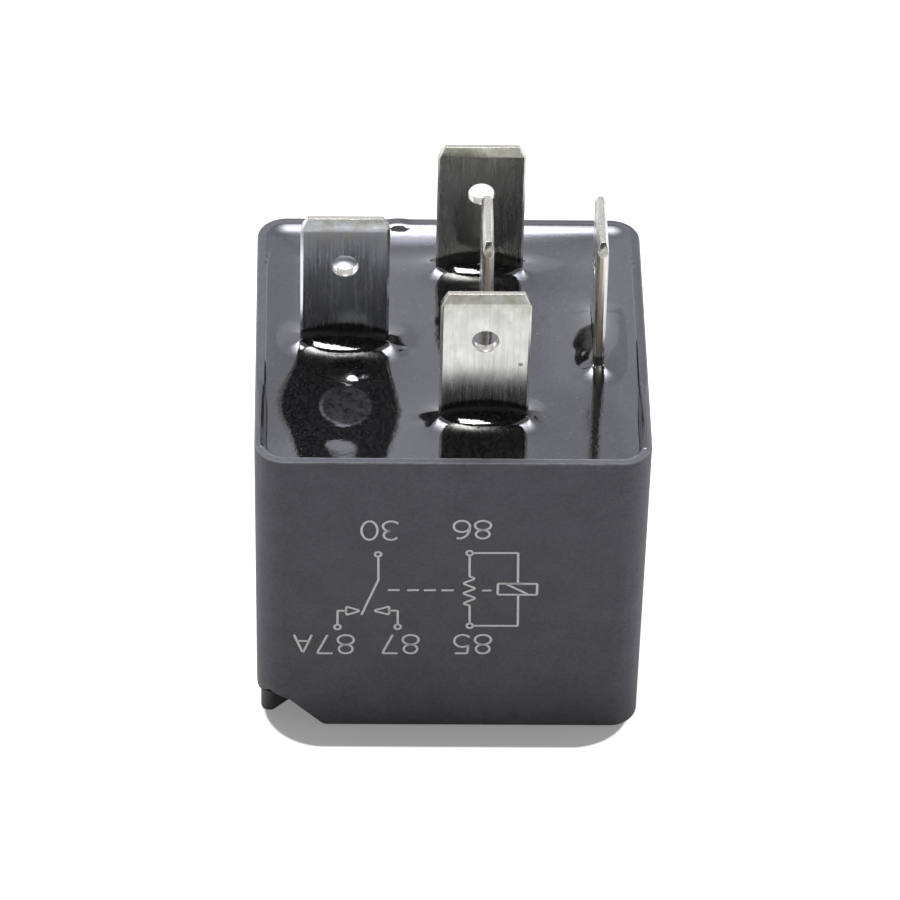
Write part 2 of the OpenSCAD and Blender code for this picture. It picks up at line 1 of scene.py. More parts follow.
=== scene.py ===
# %% [markdown]
# # A sealed plug-in relay
# A relay of this kind is a 28 mm plastic cube. A magnet and a changeover contact sit inside, five
# flat blades stand out of its open end, and a black resin seals that end around the blades. The CAD
# frame holds every solid at its true size. This script gives the solids their fine shapes, print
# and finishes, and never moves them.

# %% Load the CAD frame
import json
import math

import bmesh
import bpy
from mathutils import Matrix, Vector
from mathutils.bvhtree import BVHTree


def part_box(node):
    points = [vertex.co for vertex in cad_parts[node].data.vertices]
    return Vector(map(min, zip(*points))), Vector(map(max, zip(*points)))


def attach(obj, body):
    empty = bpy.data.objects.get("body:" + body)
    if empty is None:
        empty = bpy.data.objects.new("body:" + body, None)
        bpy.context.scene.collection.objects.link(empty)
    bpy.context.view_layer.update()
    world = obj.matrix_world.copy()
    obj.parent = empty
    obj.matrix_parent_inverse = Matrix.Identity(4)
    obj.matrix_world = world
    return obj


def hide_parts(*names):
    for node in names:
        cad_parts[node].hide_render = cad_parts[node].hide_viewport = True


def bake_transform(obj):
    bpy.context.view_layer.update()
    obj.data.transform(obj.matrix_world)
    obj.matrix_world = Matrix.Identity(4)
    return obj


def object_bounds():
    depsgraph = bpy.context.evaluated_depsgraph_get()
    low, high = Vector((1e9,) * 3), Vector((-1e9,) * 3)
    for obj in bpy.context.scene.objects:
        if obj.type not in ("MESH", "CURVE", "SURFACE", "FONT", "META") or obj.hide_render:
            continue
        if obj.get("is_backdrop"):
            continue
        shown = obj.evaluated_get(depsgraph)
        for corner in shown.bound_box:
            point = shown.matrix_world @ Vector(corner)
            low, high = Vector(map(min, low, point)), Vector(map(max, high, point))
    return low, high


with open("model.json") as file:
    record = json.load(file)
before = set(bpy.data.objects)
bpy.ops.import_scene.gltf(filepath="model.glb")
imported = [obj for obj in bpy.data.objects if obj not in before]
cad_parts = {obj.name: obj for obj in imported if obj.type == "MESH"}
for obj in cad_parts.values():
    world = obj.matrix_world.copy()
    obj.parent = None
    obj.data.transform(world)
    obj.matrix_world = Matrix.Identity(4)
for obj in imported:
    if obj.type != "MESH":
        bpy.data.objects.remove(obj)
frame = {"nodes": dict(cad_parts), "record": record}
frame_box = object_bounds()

MM = 0.001
scene = bpy.context.scene
cad, record = frame["nodes"], frame["record"]
print("CAD nodes:", len(cad), "box in mm:", [[round(c / MM, 2) for c in corner] for corner in frame_box])

# %% [markdown]
# ## Softer edges
# A moulding or a stamping never has a knife-sharp edge: a hair of rounding catches the light and
# tells the eye how large the thing is. The CAD mesh could be shown as it is, but its edges would
# look cut from paper. Here a copy of each node is merged and rounded with a Bevel modifier. Only a
# copy can be changed, because the CAD mesh is the frame for everything else. Where edges meet at a
# steep angle a bevel can throw a point far out, and such points are pulled back to the CAD surface.
# The faces that the bevel makes are kept in an attribute named edge, so that a finish can rub them
# brighter.

# %% Copies of CAD meshes
WELD = 1e-7
FLAT, SHARP = math.radians(0.4), math.radians(35)


def shown(name, data):
    """A new object in the scene."""
    obj = bpy.data.objects.new(name, data)
    scene.collection.objects.link(obj)
    return obj


def from_work(work, name):
    """An object with the mesh that a bmesh holds."""
    mesh = bpy.data.meshes.new(name)
    work.to_mesh(mesh)
    work.free()
    return shown(name, mesh)


def merged(node):
    """A bmesh copy of a CAD node: doubles merged, flat faces joined."""
    work = bmesh.new()
    work.from_mesh(cad[node].data)
    bmesh.ops.remove_doubles(work, verts=work.verts, dist=WELD)
    bmesh.ops.dissolve_limit(work, angle_limit=FLAT, verts=work.verts, edges=work.edges)
    return work


def made_mesh(obj):
    """The mesh that an object's modifiers make."""
    graph = bpy.context.evaluated_depsgraph_get()
    return bpy.data.meshes.new_from_object(obj.evaluated_get(graph))


def plain(obj):
    """Give an object the mesh that its modifiers make, and take the modifiers off."""
    mesh = made_mesh(obj)
    obj.modifiers.clear()
    obj.data = mesh
    return mesh


def store(mesh, name, domain, numbers):
    """Store one number for each point or face of a mesh."""
    mesh.attributes.new(name, "FLOAT", domain).data.foreach_set("value", list(numbers))


sample = merged("cover")
print("cover faces:", len(cad["cover"].data.polygons), "merged:", len(sample.faces))
sample.free()

# %% Round the edges of a copy
STRAY = 0.9
strays = {}


def pulled_back(mesh, node, radius):
    """Bring points that a bevel threw away from the CAD surface back to it; returns their number."""
    solid = cad[node].data
    points = [v.co.copy() for v in solid.vertices]
    skin = BVHTree.FromPolygons(points, [tuple(p.vertices) for p in solid.polygons])
    low, high = ([pick(axis) for axis in zip(*points)] for pick in (min, max))
    moved = 0
    for vertex in mesh.vertices:
        home = skin.find_nearest(vertex.co)[0]
        if (home - vertex.co).length > STRAY * radius * MM:
            vertex.co = home
            moved += 1
        vertex.co = [max(a, min(b, c)) for a, b, c in zip(low, high, vertex.co)]
    return moved


def softened(node, radius):
    """A copy of a CAD node with its sharp edges rounded; bevel faces carry edge = 1."""
    obj = from_work(merged(node), node + "_finished")
    for _ in range(2):
        obj.data.materials.append(None)
    obj.data.shade_smooth()
    bevel = obj.modifiers.new("rounded edges", "BEVEL")
    bevel.width = radius * MM
    bevel.segments = 2
    bevel.limit_method = "ANGLE"
    bevel.angle_limit = SHARP
    bevel.use_clamp_overlap = False
    bevel.material = 1
    obj.modifiers.new("even normals", "WEIGHTED_NORMAL").weight = 100
    mesh = plain(obj)
    strays[node] = pulled_back(mesh, node, radius)
    store(mesh, "edge", "FACE", [float(face.material_index == 1) for face in mesh.polygons])
    for face in mesh.polygons:
        face.material_index = 0
    mesh.materials.clear()
    return obj


EDGE_RADIUS = {
    0.11: "cover", 0.1: "base bobbin", 0.08: "core", 0.12: "yoke armature resistor",
    0.06: "moving_contact contact_no contact_nc yoke_rivet_front yoke_rivet_back "
          "armature_rivet_front armature_rivet_back",
    0.04: "terminal_30 terminal_85 terminal_86 terminal_87 terminal_87a",
}
BODY_OF = {node: body for body, members in record["behaviour"]["bodies"].items() for node in members}
pieces = {}
for radius, nodes in EDGE_RADIUS.items():
    for node in nodes.split():
        piece = softened(node, radius)
        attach(piece, BODY_OF[node])
        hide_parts(node)
        pieces[node] = piece
print("rounded copies:", len(pieces), "faces:", sum(len(p.data.polygons) for p in pieces.values()),
      "points pulled back:", {node: count for node, count in strays.items() if count})

# %% [markdown]
# ## Node helpers
# Geometry Nodes and shader nodes are both graphs of boxes and wires. A few small functions keep
# the script readable: one starts a tree with named sockets, one puts a node in it, and one wires
# its inputs. A node's output is held as a Value, so that a sum can be written with plain signs,
# and each sign puts one Math node in the tree.

# %% Values that can be reckoned with
class Value:
    """A node's output; plain signs between Values put Math nodes in their tree."""

    def __init__(self, socket):
        self.socket, self.tree = socket, socket.id_data

    def __neg__(self):
        return calc("MULTIPLY", self, -1.0)

    def __abs__(self):
        return calc("ABSOLUTE", self)


SIGNS = {"add": "ADD", "sub": "SUBTRACT", "mul": "MULTIPLY", "truediv": "DIVIDE", "pow": "POWER"}
for sign, operation in SIGNS.items():
    setattr(Value, f"__{sign}__", lambda a, b, do=operation: calc(do, a, b))
    setattr(Value, f"__r{sign}__", lambda a, b, do=operation: calc(do, b, a))


def calc(operation, *values):
    """One Math node's result; it goes into the tree that its values come from."""
    tree = next(v.tree for v in values if isinstance(v, Value))
    return value(tree, "ShaderNodeMath", dict(enumerate(values)), operation=operation)


def length(a, b):
    """The long side of a right triangle."""
    return calc("SQRT", a * a + b * b)


print("signs:", list(SIGNS.values()))

# %% Nodes and trees
def wire(node, wires):
    """Set a node's inputs, by name or number: a Value is linked, a constant is written in."""
    for label, source in wires.items():
        if isinstance(source, Value):
            source.tree.links.new(source.socket, node.inputs[label])
        else:
            node.inputs[label].default_value = source


def put(tree, kind, wires=None, **settings):
    """Put a node in a tree: settings are its properties, wires its inputs."""
    node = tree.nodes.new(kind)
    for label, setting in settings.items():
        setattr(node, label, setting)
    wire(node, wires or {})
    return node


def outputs(node):
    """A node's outputs by name."""
    return {socket.name: Value(socket) for socket in node.outputs}


def value(tree, kind, wires=None, output=0, **settings):
    """Put a node in a tree and take one of its outputs."""
    return Value(put(tree, kind, wires, **settings).outputs[output])


def split(vector):
    """The X, Y and Z of a vector."""
    return list(outputs(put(vector.tree, "ShaderNodeSeparateXYZ", {0: vector})).values())


def start_tree(name, kind, inputs, results):
    """A new node group with named sockets: a word gives a socket's type, a number its default."""
    tree = bpy.data.node_groups.new(name, kind)
    for in_out, sockets in (("INPUT", inputs), ("OUTPUT", results)):
        for label, kind_or_number in sockets.items():
            typed = isinstance(kind_or_number, str)
            made = tree.interface.new_socket(
                label, in_out=in_out, socket_type="NodeSocket" + (kind_or_number if typed else "Float"))
            if not typed:
                made.default_value = kind_or_number
    return tree, outputs(tree.nodes.new("NodeGroupInput")), tree.nodes.new("NodeGroupOutput")


def place_group(tree, group, wires):
    """Put a node group inside a tree and take its outputs by name."""
    kind = "GeometryNodeGroup" if tree.bl_idname == "GeometryNodeTree" else "ShaderNodeGroup"
    return outputs(put(tree, kind, wires, node_tree=group))


def end_tree(result, geometry, finish):
    """End a Geometry Nodes tree with real geometry in its material."""
    real = value(geometry.tree, "GeometryNodeRealizeInstances", {"Geometry": geometry})
    wires = {"Geometry": real, "Material": finish}
    wire(result, {"Geometry": value(geometry.tree, "GeometryNodeSetMaterial", wires)})
    print(geometry.tree.name, "has", len(geometry.tree.nodes), "nodes")


def add_tree(obj, tree, values):
    """Give an object a Geometry Nodes modifier with the given named inputs."""
    modifier = obj.modifiers.new(tree.name, "NODES")
    modifier.node_group = tree
    for socket in tree.interface.items_tree:
        if socket.in_out == "INPUT" and socket.name in values:
            modifier[socket.identifier] = values[socket.name]


print("node helpers ready")

# %% [markdown]
# ## The resin's blank
# The open end is filled with black casting resin. While it is liquid it creeps up the walls and the
# blades, and it sets like that. A fluid simulation could find the shape, but a rule gives it too:
# the height depends on the distance to the wall and to each blade. For a rule to show well, the
# mesh needs its points where the height changes fast, so the blank is a grid whose lines crowd
# at the blades and the walls. Its cells are left out where a blade passes through.

# %% Where the blades stand
BLADE_HALF = (3.15, 0.4)
BLADE_BEVEL = 0.18
mount_axis = {m["name"]: m["axis"] for m in record["mounts"]}
blade_places = {}
for mount in record["mounts"]:
    kind, _, number = mount["name"].partition("_")
    if kind == "blade":
        wide_x = abs(mount_axis["detent_" + number][1]) > 0.5
        half = BLADE_HALF if wide_x else BLADE_HALF[::-1]
        blade_places[number] = (mount["pos_m"][0] / MM, mount["pos_m"][1] / MM, *half)
print("blades at (mm):", {number: (round(p[0], 2), round(p[1], 2)) for number, p in blade_places.items()})

# %% Grid lines that crowd at the blades and the walls
RIM_HALF, RIM_RADIUS = 13.33, 1.63
RIM_CORE = RIM_HALF - RIM_RADIUS
CROWD = (0.03, 0.07, 0.11, 0.16, 0.22, 0.31, 0.43, 0.58, 0.77, 1.0, 1.3)
WIDEST, NEAREST = 0.34, 0.028


def grid_lines(axis):
    """Positions of the grid's lines along X (axis 0) or Y (axis 1)."""
    lines = {-RIM_HALF, RIM_HALF}
    wanted = [sign * (RIM_HALF - step) for sign in (-1, 1) for step in CROWD]
    for place in blade_places.values():
        centre, half = place[axis], place[2 + axis]
        edges = [sign * edge for sign in (-1, 1) for edge in (half, half - BLADE_BEVEL)]
        lines |= {round(centre + edge, 6) for edge in edges}
        wanted += [centre + sign * (half + step) for sign in (-1, 1) for step in CROWD]
    lines = sorted(lines)
    for line in wanted:
        if abs(line) < RIM_HALF and min(abs(line - other) for other in lines) > NEAREST:
            lines.append(line)
    lines.sort()
    filled = [lines[0]]
    for low, high in zip(lines, lines[1:]):
        count = math.ceil((high - low) / WIDEST)
        filled += [low + (high - low) * step / count for step in range(1, count + 1)]
    return filled


lines_x, lines_y = grid_lines(0), grid_lines(1)
print("grid lines:", len(lines_x), "by", len(lines_y))

# %% Fit the square grid to the rim's rounded corners
def into_corner(x, y):
    """Move a grid point so that the grid's square corners become the rim's round ones."""
    a, b = abs(x) - RIM_CORE, abs(y) - RIM_CORE
    if a <= 0 or b <= 0:
        return x, y
    share = max(a, b) / math.hypot(a, b)
    return math.copysign(RIM_CORE + a * share, x), math.copysign(RIM_CORE + b * share, y)


def wall_distance(x, y):
    """Distance from a point to the rim's outline, in millimetres."""
    a, b = abs(x) - RIM_CORE, abs(y) - RIM_CORE
    outside = math.hypot(max(a, 0), max(b, 0)) + min(max(a, b), 0)
    return max(RIM_RADIUS - outside, 0)


def wall_normal(x, y):
    """Outward direction of the rim's outline at a point on it."""
    return Vector(c - max(-RIM_CORE, min(RIM_CORE, c)) for c in (x, y)).normalized()


def smooth(number, low, high):
    """0 below low, 1 above high, and a soft step between."""
    share = max(0.0, min(1.0, (number - low) / (high - low)))
    return share * share * (3 - 2 * share)


print("corner of the rim at:", [round(c, 2) for c in into_corner(RIM_HALF, RIM_HALF)])

# %% [markdown]
# ## The resin's level
# Along the front wall the resin lies a little below the rim. At the sides and at the back its edge
# has run over the rim's flat land, further at the back, which is why the white glint there sits
# close to the outer edge. The wide climb towards the wall grows from front to back. A few plain
# functions say how high the resin stands at the wall and how far it has run over.

# %% How the resin meets its walls
RESIN_LEVEL = 24.65
RIM_Z, RIM_EDGE = 25.0, 13.2976
CHAMFER_Z, CHAMFER_EDGE = 24.7, 12.9976
RESIN_FOOT_Z, FOOT_EDGE = 23.1, 12.985
FILM, SPILL_FILM = 0.012, 0.03
WALL_RISE = RIM_Z + FILM - RESIN_LEVEL
WALL_SHARE, WALL_REACH, EDGE_REACH = 0.9, 1.8, 0.2
FRONT_EDGE, FRONT_BAND, FRONT_LOW = 13.0, 1.2, 0.08
HOLD_Y, CLIMB_Y, SIDE_X, SIDE_LEAN = (-12.9, -12.0), (-10.0, -1.5), (11.3, 13.1), 0.12
SIDE_REACH, SPILL_REACH, REACH_Y = 0.24, 0.45, (-6.5, -4.0)
SIDE_START, SPILL_START, START_Y = 13.16, 12.3, (8.0, 11.5)
BEAD_X, BEAD_HALF, BEAD_RISE = -3.6, 0.6, 0.09


def hold(y):
    """Share of the rim's height that the resin's very edge reaches: all but along the front wall."""
    return smooth(y, *HOLD_Y)


def lean(x, y):
    """Share of the wide climb: none at the front, a narrow one at both sides, all of it further back."""
    back = smooth(y, *CLIMB_Y)
    return back + (1 - back) * SIDE_LEAN * hold(y) * smooth(abs(x), *SIDE_X)


def climb_at(x, y, distance):
    """Height of the climb at a distance from the wall."""
    slow, fast = math.exp(-distance / WALL_REACH), math.exp(-distance / EDGE_REACH)
    return lean(x, y) * WALL_RISE * (WALL_SHARE * slow + (1 - WALL_SHARE) * fast)


def wall_shift(y, distance):
    """How far a point near a low wall moves in, so that the edge lies on the wall's face."""
    return (1 - hold(y)) * (RIM_HALF - FRONT_EDGE) * (1 - smooth(distance, 0, FRONT_BAND))


def spill_at(x, y, distance):
    """How far a point moves out over the rim, and how much it is lifted there."""
    reach = SIDE_REACH + (SPILL_REACH - SIDE_REACH) * smooth(y, *REACH_Y)
    start = SIDE_START + (SPILL_START - SIDE_START) * smooth(y, *START_Y)
    along = RIM_HALF - distance
    run = hold(y) * smooth(along, start, RIM_HALF) ** 2
    film = RIM_Z + SPILL_FILM - RESIN_LEVEL
    if along + reach * run >= RIM_EDGE:
        lift = film - climb_at(x, y, distance)
    else:
        at_rim = climb_at(x, y, RIM_HALF - RIM_EDGE + reach)
        lift = smooth(along + reach * run, start, RIM_EDGE) * (film - at_rim)
    bead = BEAD_RISE * math.exp(-((x - BEAD_X) / BEAD_HALF) ** 4) * run
    return reach * run, max(lift, 0) * hold(y) + bead


print("climb at the side wall:", round(climb_at(RIM_HALF, 0, 0), 2), "mm")

# %% Lay the blank
blank = bmesh.new()
layers = [blank.verts.layers.float.new(name) for name in ("top", "wall", "lean", "spill")]
grid, rim_base = {}, {}
for i, line_x in enumerate(lines_x):
    for j, line_y in enumerate(lines_y):
        x, y = into_corner(line_x, line_y)
        distance = wall_distance(x, y)
        shift, lift = spill_at(x, y, distance)
        at = Vector((x, y)) + wall_normal(x, y) * (shift - wall_shift(y, distance))
        vertex = blank.verts.new(Vector((at.x, at.y, RESIN_LEVEL)) * MM)
        for layer, number in zip(layers, (1, distance, lean(x, y), lift)):
            vertex[layer] = number
        grid[i, j] = vertex
        if i in (0, len(lines_x) - 1) or j in (0, len(lines_y) - 1):
            rim_base[vertex] = Vector((x, y))
print("grid points:", len(grid))

# %% Cells, with the bevelled corner of each blade hole
def in_blade(x, y):
    """The blade that a point lies in, or None."""
    for place in blade_places.values():
        if abs(x - place[0]) < place[2] and abs(y - place[1]) < place[3]:
            return place
    return None


for i in range(len(lines_x) - 1):
    for j in range(len(lines_y) - 1):
        corners = [(i, j), (i + 1, j), (i + 1, j + 1), (i, j + 1)]
        x, y = (lines_x[i] + lines_x[i + 1]) / 2, (lines_y[j] + lines_y[j + 1]) / 2
        place = in_blade(x, y)
        if place is None:
            blank.faces.new([grid[c] for c in corners])
            continue
        near_x = abs(x - place[0]) > place[2] - BLADE_BEVEL
        near_y = abs(y - place[1]) > place[3] - BLADE_BEVEL
        if near_x and near_y:
            inner = (i + (x < place[0]), j + (y < place[1]))
            blank.faces.new([grid[c] for c in corners if c != inner])
bmesh.ops.delete(blank, geom=[v for v in blank.verts if not v.link_faces], context="VERTS")
print("cells:", len(blank.faces))

# %% Walls and underside of the blank
STEP_DOWN = 0.01


def sink(edges, move):
    """Extrude a loop of edges and move each new point with a function of the old one."""
    made = bmesh.ops.extrude_edge_only(blank, edges=edges)["geom"]
    fresh = [g for g in made if isinstance(g, bmesh.types.BMVert)]
    for vertex in fresh:
        for layer in layers:
            vertex[layer] = 0
    move(fresh)
    return [g for g in made if isinstance(g, bmesh.types.BMEdge)]


def ring_mover(edge, level, step):
    """Moves a rim ring's points to an offset of the rim's outline, never above the resin's edge."""
    def move(fresh):
        homes = [min(rim_points, key=lambda p: (p[0] - v.co.xy / MM).length_squared)[1] for v in fresh]
        rim_points.clear()
        for vertex, home in zip(fresh, homes):
            top_edge = RIM_HALF - wall_shift(home.y, 0)
            at = home + wall_normal(*home) * (min(edge, top_edge) - RIM_HALF)
            if edge > RIM_HALF:
                at = vertex.co.xy / MM
            below = STEP_DOWN * step + FRONT_LOW * (1 - hold(home.y))
            edge_z = RESIN_LEVEL + WALL_RISE * hold(home.y)
            vertex.co = Vector((at.x, at.y, min(level, edge_z - below))) * MM
            rim_points.append((vertex.co.xy / MM, home))
    return move


def drop(fresh):
    """Moves points straight down to the resin's foot."""
    for vertex in fresh:
        vertex.co.z = RESIN_FOOT_Z * MM


open_edges = [e for e in blank.edges if e.is_boundary]
rim_points = [(v.co.xy / MM, base) for v, base in rim_base.items() if v.is_valid]
ring = [e for e in open_edges if all(v in rim_base for v in e.verts)]
last = sink([e for e in open_edges if e not in set(ring)], drop)
RINGS = ((math.inf, RIM_Z), (RIM_EDGE, RIM_Z), (CHAMFER_EDGE, CHAMFER_Z), (FOOT_EDGE, RESIN_FOOT_Z))
for step, (edge, level) in enumerate(RINGS, start=1):
    ring = sink(ring, ring_mover(edge, level, step))
bmesh.ops.triangle_fill(blank, edges=last + ring, use_beauty=True, normal=(0, 0, -1))
bmesh.ops.recalc_face_normals(blank, faces=blank.faces)
open_left = sum(e.is_boundary for e in blank.edges)
resin = from_work(blank, "resin_finished")
print("resin blank faces:", len(resin.data.polygons), "open edges:", open_left)

# %% [markdown]
# ## The resin's climb, as nodes
# Now the rule. One small group gives the climb at one blade: high in the middle of a wide face,
# lower at its ends, and fading with distance. It is placed five times, once for each blade. A second
# group makes a round mark, for a bubble, a bump or a dimple. Nodes suit this better than sculpting,
# because every size stays a number that can be changed.

# %% Climb at one blade
climb, given, result = start_tree("Blade climb", "GeometryNodeTree", {
    "Place": "Vector", "Centre X": 0.0, "Centre Y": 0.0, "Half X": 1.0, "Half Y": 1.0,
    "Wide along X": 1.0, "Climb": 0.62, "Reach": 1.9, "End drop": 0.75, "Tail": 0.25,
    "Tail reach": 1.0}, {"Height": "Float"})
past, shares = [], []
for axis, at in zip("XY", split(given["Place"])):
    off = abs(at - given["Centre " + axis])
    past.append(calc("MAXIMUM", off - given["Half " + axis], 0.0))
    shares.append(calc("MINIMUM", off / given["Half " + axis], 1.0))
gap = length(*past)
share = value(climb, "ShaderNodeMix", {0: given["Wide along X"], 2: shares[1], 3: shares[0]})
lens = 1.0 - given["End drop"] * (share * share)
left = calc("MAXIMUM", 1.0 - gap / given["Reach"], 0.0)
far = calc("EXPONENT", -gap / given["Tail reach"])
wire(result, {"Height": given["Climb"] * lens * (left * left) + given["Tail"] * far})
print("blade climb nodes:", len(climb.nodes))

# %% One round mark
mark, given, result = start_tree("Round mark", "GeometryNodeTree", {
    "Place": "Vector", "Centre X": 0.0, "Centre Y": 0.0, "Radius X": 0.4, "Radius Y": 0.4,
    "Rise": 0.05, "Ring": 0.0}, {"Height": "Float"})
parts = [(at - given["Centre " + axis]) / given["Radius " + axis]
         for axis, at in zip("XY", split(given["Place"]))]
off_ring = length(*parts) - given["Ring"]
wire(result, {"Height": calc("EXPONENT", -(off_ring * off_ring)) * given["Rise"]})
print("round mark nodes:", len(mark.nodes))

# %% [markdown]
# ## The whole surface
# The tree adds up the climb at the walls, the climb at the five blades, the marks and a faint
# ripple. The marks are what the mirror in the resin gives away: a wide hollow at the front left with
# a burst bubble in it, a trough along the back, two bumps that catch the lamp, and a few pits.
# They fade out at the side and front walls, so that the resin's edge stays where it is.

# %% Add up the surface
MARK_SIZES = ("Centre X", "Centre Y", "Radius X", "Radius Y", "Rise", "Ring")
MARKS = {
    "hollow": (-7.2, -6.5, 5.6, 4.6, -0.47, 0.0),
    "trough": (-1.0, 10.6, 11.0, 1.8, -0.3, 0.0),
    "front bump": (-7.05, -3.35, 1.15, 0.9, 0.29, 0.0),
    "back bump": (-7.6, 9.1, 1.6, 1.05, 0.5, 0.0),
    "bubble's lip": (-7.5, -6.8, 0.33, 0.38, 0.035, 5.2),
    "pit by 30": (-3.3, -0.9, 0.55, 0.3, -0.05, 0.0),
    "pit by 87": (8.9, -0.8, 0.5, 0.6, -0.05, 0.0),
    "pit by 85": (-2.2, -8.6, 0.8, 0.5, -0.05, 0.0),
    "pinhole": (6.9, 2.6, 0.2, 0.12, -0.03, 0.0),
    "pimple": (-1.2, 2.4, 0.3, 0.3, 0.015, 0.0),
}
surface, given, result = start_tree("Resin surface", "GeometryNodeTree", {
    "Geometry": "Geometry", "Wall rise": WALL_RISE, "Wall share": WALL_SHARE,
    "Wall reach": WALL_REACH, "Edge reach": EDGE_REACH, "Side calm": 2.0, "Front calm": 0.5,
    "Ripple": 0.008, "Ripple size": 4.0, "Seed": 7.0, "Finish": "Material"}, {"Geometry": "Geometry"})


def named(label):
    """A stored attribute's value."""
    return value(surface, "GeometryNodeInputNamedAttribute", {"Name": label}, data_type="FLOAT")


place_mm = value(surface, "ShaderNodeVectorMath", {
    0: value(surface, "GeometryNodeInputPosition"), "Scale": 1 / MM}, operation="SCALE")
to_wall = -named("wall")
slow, fast = (calc("EXPONENT", to_wall / given[reach]) for reach in ("Wall reach", "Edge reach"))
profile = value(surface, "ShaderNodeMix", {0: given["Wall share"], 2: fast, 3: slow})
total = named("lean") * given["Wall rise"] * profile + named("spill")
side, depth, _ = split(place_mm)
side_still = calc("EXPONENT", (abs(side) - RIM_HALF) / given["Side calm"])
front_still = calc("EXPONENT", (-depth - RIM_HALF) / given["Front calm"])
calm = (1.0 - side_still) * (1.0 - front_still)
for x, y, half_x, half_y in blade_places.values():
    total += place_group(surface, climb, {
        "Place": place_mm, "Centre X": x, "Centre Y": y, "Half X": half_x, "Half Y": half_y,
        "Wide along X": float(half_x > half_y)})["Height"]
for sizes in MARKS.values():
    wires = dict(zip(MARK_SIZES, sizes))
    total += place_group(surface, mark, {"Place": place_mm, **wires})["Height"] * calm
noise = value(surface, "ShaderNodeTexNoise", {
    "Vector": place_mm, "W": given["Seed"], "Scale": 1.0 / given["Ripple size"], "Detail": 1.0},
    noise_dimensions="4D")
total = (total + (noise - 0.5) * 2.0 * (given["Ripple"] * calm)) * named("top")
offset = value(surface, "ShaderNodeCombineXYZ", {2: total * MM})
moved = value(surface, "GeometryNodeSetPosition", {"Geometry": given["Geometry"], "Offset": offset})
end_tree(result, moved, given["Finish"])

# %% [markdown]
# ## Shared finishes
# Several materials show the same effects: a fine moulded grain, soft smudges, specks of dust, the
# grain of rolled strip, and edges rubbed bright. Each effect is a shader group that is built once
# and placed in every material with its own numbers. They read Object coordinates, which stay with
# the piece when the camera moves.

# %% Places, noise and ranges
def object_place(tree, stretch=(1, 1, 1)):
    """The point on the object, stretched along its axes."""
    place = value(tree, "ShaderNodeTexCoord", output="Object")
    return value(tree, "ShaderNodeMapping", {"Vector": place, "Scale": stretch})


def millimetres(tree):
    """The point's X, Y and Z in millimetres."""
    return [axis / MM for axis in split(object_place(tree))]


def noise_at(tree, scale, detail=3.0, rough=0.55, stretch=(1, 1, 1)):
    """A noise value; scale is in features per metre."""
    return value(tree, "ShaderNodeTexNoise", {
        "Vector": object_place(tree, stretch), "Scale": scale, "Detail": detail, "Roughness": rough})


def remap(number, low, high, to_low=0.0, to_high=1.0):
    """Map a range to another, held at its ends."""
    return value(number.tree, "ShaderNodeMapRange", {0: number, 1: low, 2: high, 3: to_low, 4: to_high})


def attribute(tree, name):
    """A number stored on the mesh."""
    return value(tree, "ShaderNodeAttribute", output="Fac", attribute_name=name)


print("the helpers read Object coordinates and stored attributes")

# %% Grain, smudges, specks, rolled strip and rubbed edges
SKIN = {"Height": "Float", "Tone": "Float"}
MASK = {"Mask": "Float"}
grain, given, result = start_tree("Moulded grain", "ShaderNodeTree", {"Scale": 5000.0}, SKIN)
wire(result, {"Height": noise_at(grain, given["Scale"], 2.0),
              "Tone": noise_at(grain, given["Scale"] * 0.08, 4.0, 0.65)})

smudges, given, result = start_tree("Smudges", "ShaderNodeTree", {"Scale": 300.0, "Cover": 0.5}, MASK)
start = 0.85 - given["Cover"] * 0.5
wire(result, {"Mask": remap(noise_at(smudges, given["Scale"], 5.0, 0.6), start, start + 0.18)})

specks, given, result = start_tree("Specks", "ShaderNodeTree", {"Scale": 900.0, "Size": 0.1}, MASK)
cells = outputs(put(specks, "ShaderNodeTexVoronoi", {
    "Vector": object_place(specks), "Scale": given["Scale"]}))
pick = value(specks, "ShaderNodeSeparateColor", {0: cells["Color"]})
wire(result, {"Mask": calc("LESS_THAN", cells["Distance"], given["Size"] * remap(pick, 0.55, 1.0))})

strip, given, result = start_tree("Rolled strip", "ShaderNodeTree", {"Scale": 9000.0}, SKIN)
wire(result, {"Height": noise_at(strip, given["Scale"], 3.0, 0.6, (1, 1, 0.04)),
              "Tone": noise_at(strip, given["Scale"] * 0.09, 5.0, 0.65, (1, 1, 0.6))})

rubbed, given, result = start_tree("Rubbed edge", "ShaderNodeTree", {"Scale": 800.0, "Amount": 0.5}, MASK)
patchy = remap(noise_at(rubbed, given["Scale"], 4.0), 0.3, 0.6, 0.25, 1.0)
wire(result, {"Mask": attribute(rubbed, "edge") * patchy * given["Amount"]})
print("shared finishes:", [group.name for group in (grain, smudges, specks, strip, rubbed)])

# %% A material and its colour steps
def new_finish(name, rough, metal=0.0):
    """A new material; returns it with its tree and its Principled shader."""
    finish = bpy.data.materials.new(name)
    finish.use_nodes = True
    shader = finish.node_tree.nodes["Principled BSDF"]
    wire(shader, {"Roughness": rough, "Metallic": metal})
    return finish, finish.node_tree, shader


def colour(mask, low, high):
    """Mix two colours by a mask; either may be a Value."""
    low, high = (c if isinstance(c, Value) else (*c, 1.0) for c in (low, high))
    return value(mask.tree, "ShaderNodeMix", {0: mask, 6: low, 7: high}, output=2, data_type="RGBA")


def bumped(shader, height, depth):
    """Feed a height, with its depth in millimetres, to a shader's normal."""
    wires = {"Height": height, "Distance": depth * MM}
    wire(shader, {"Normal": value(height.tree, "ShaderNodeBump", wires)})


FINISH = {}
print("slots to fill:", sorted({part["material_slot"] for part in record["subparts"]}))

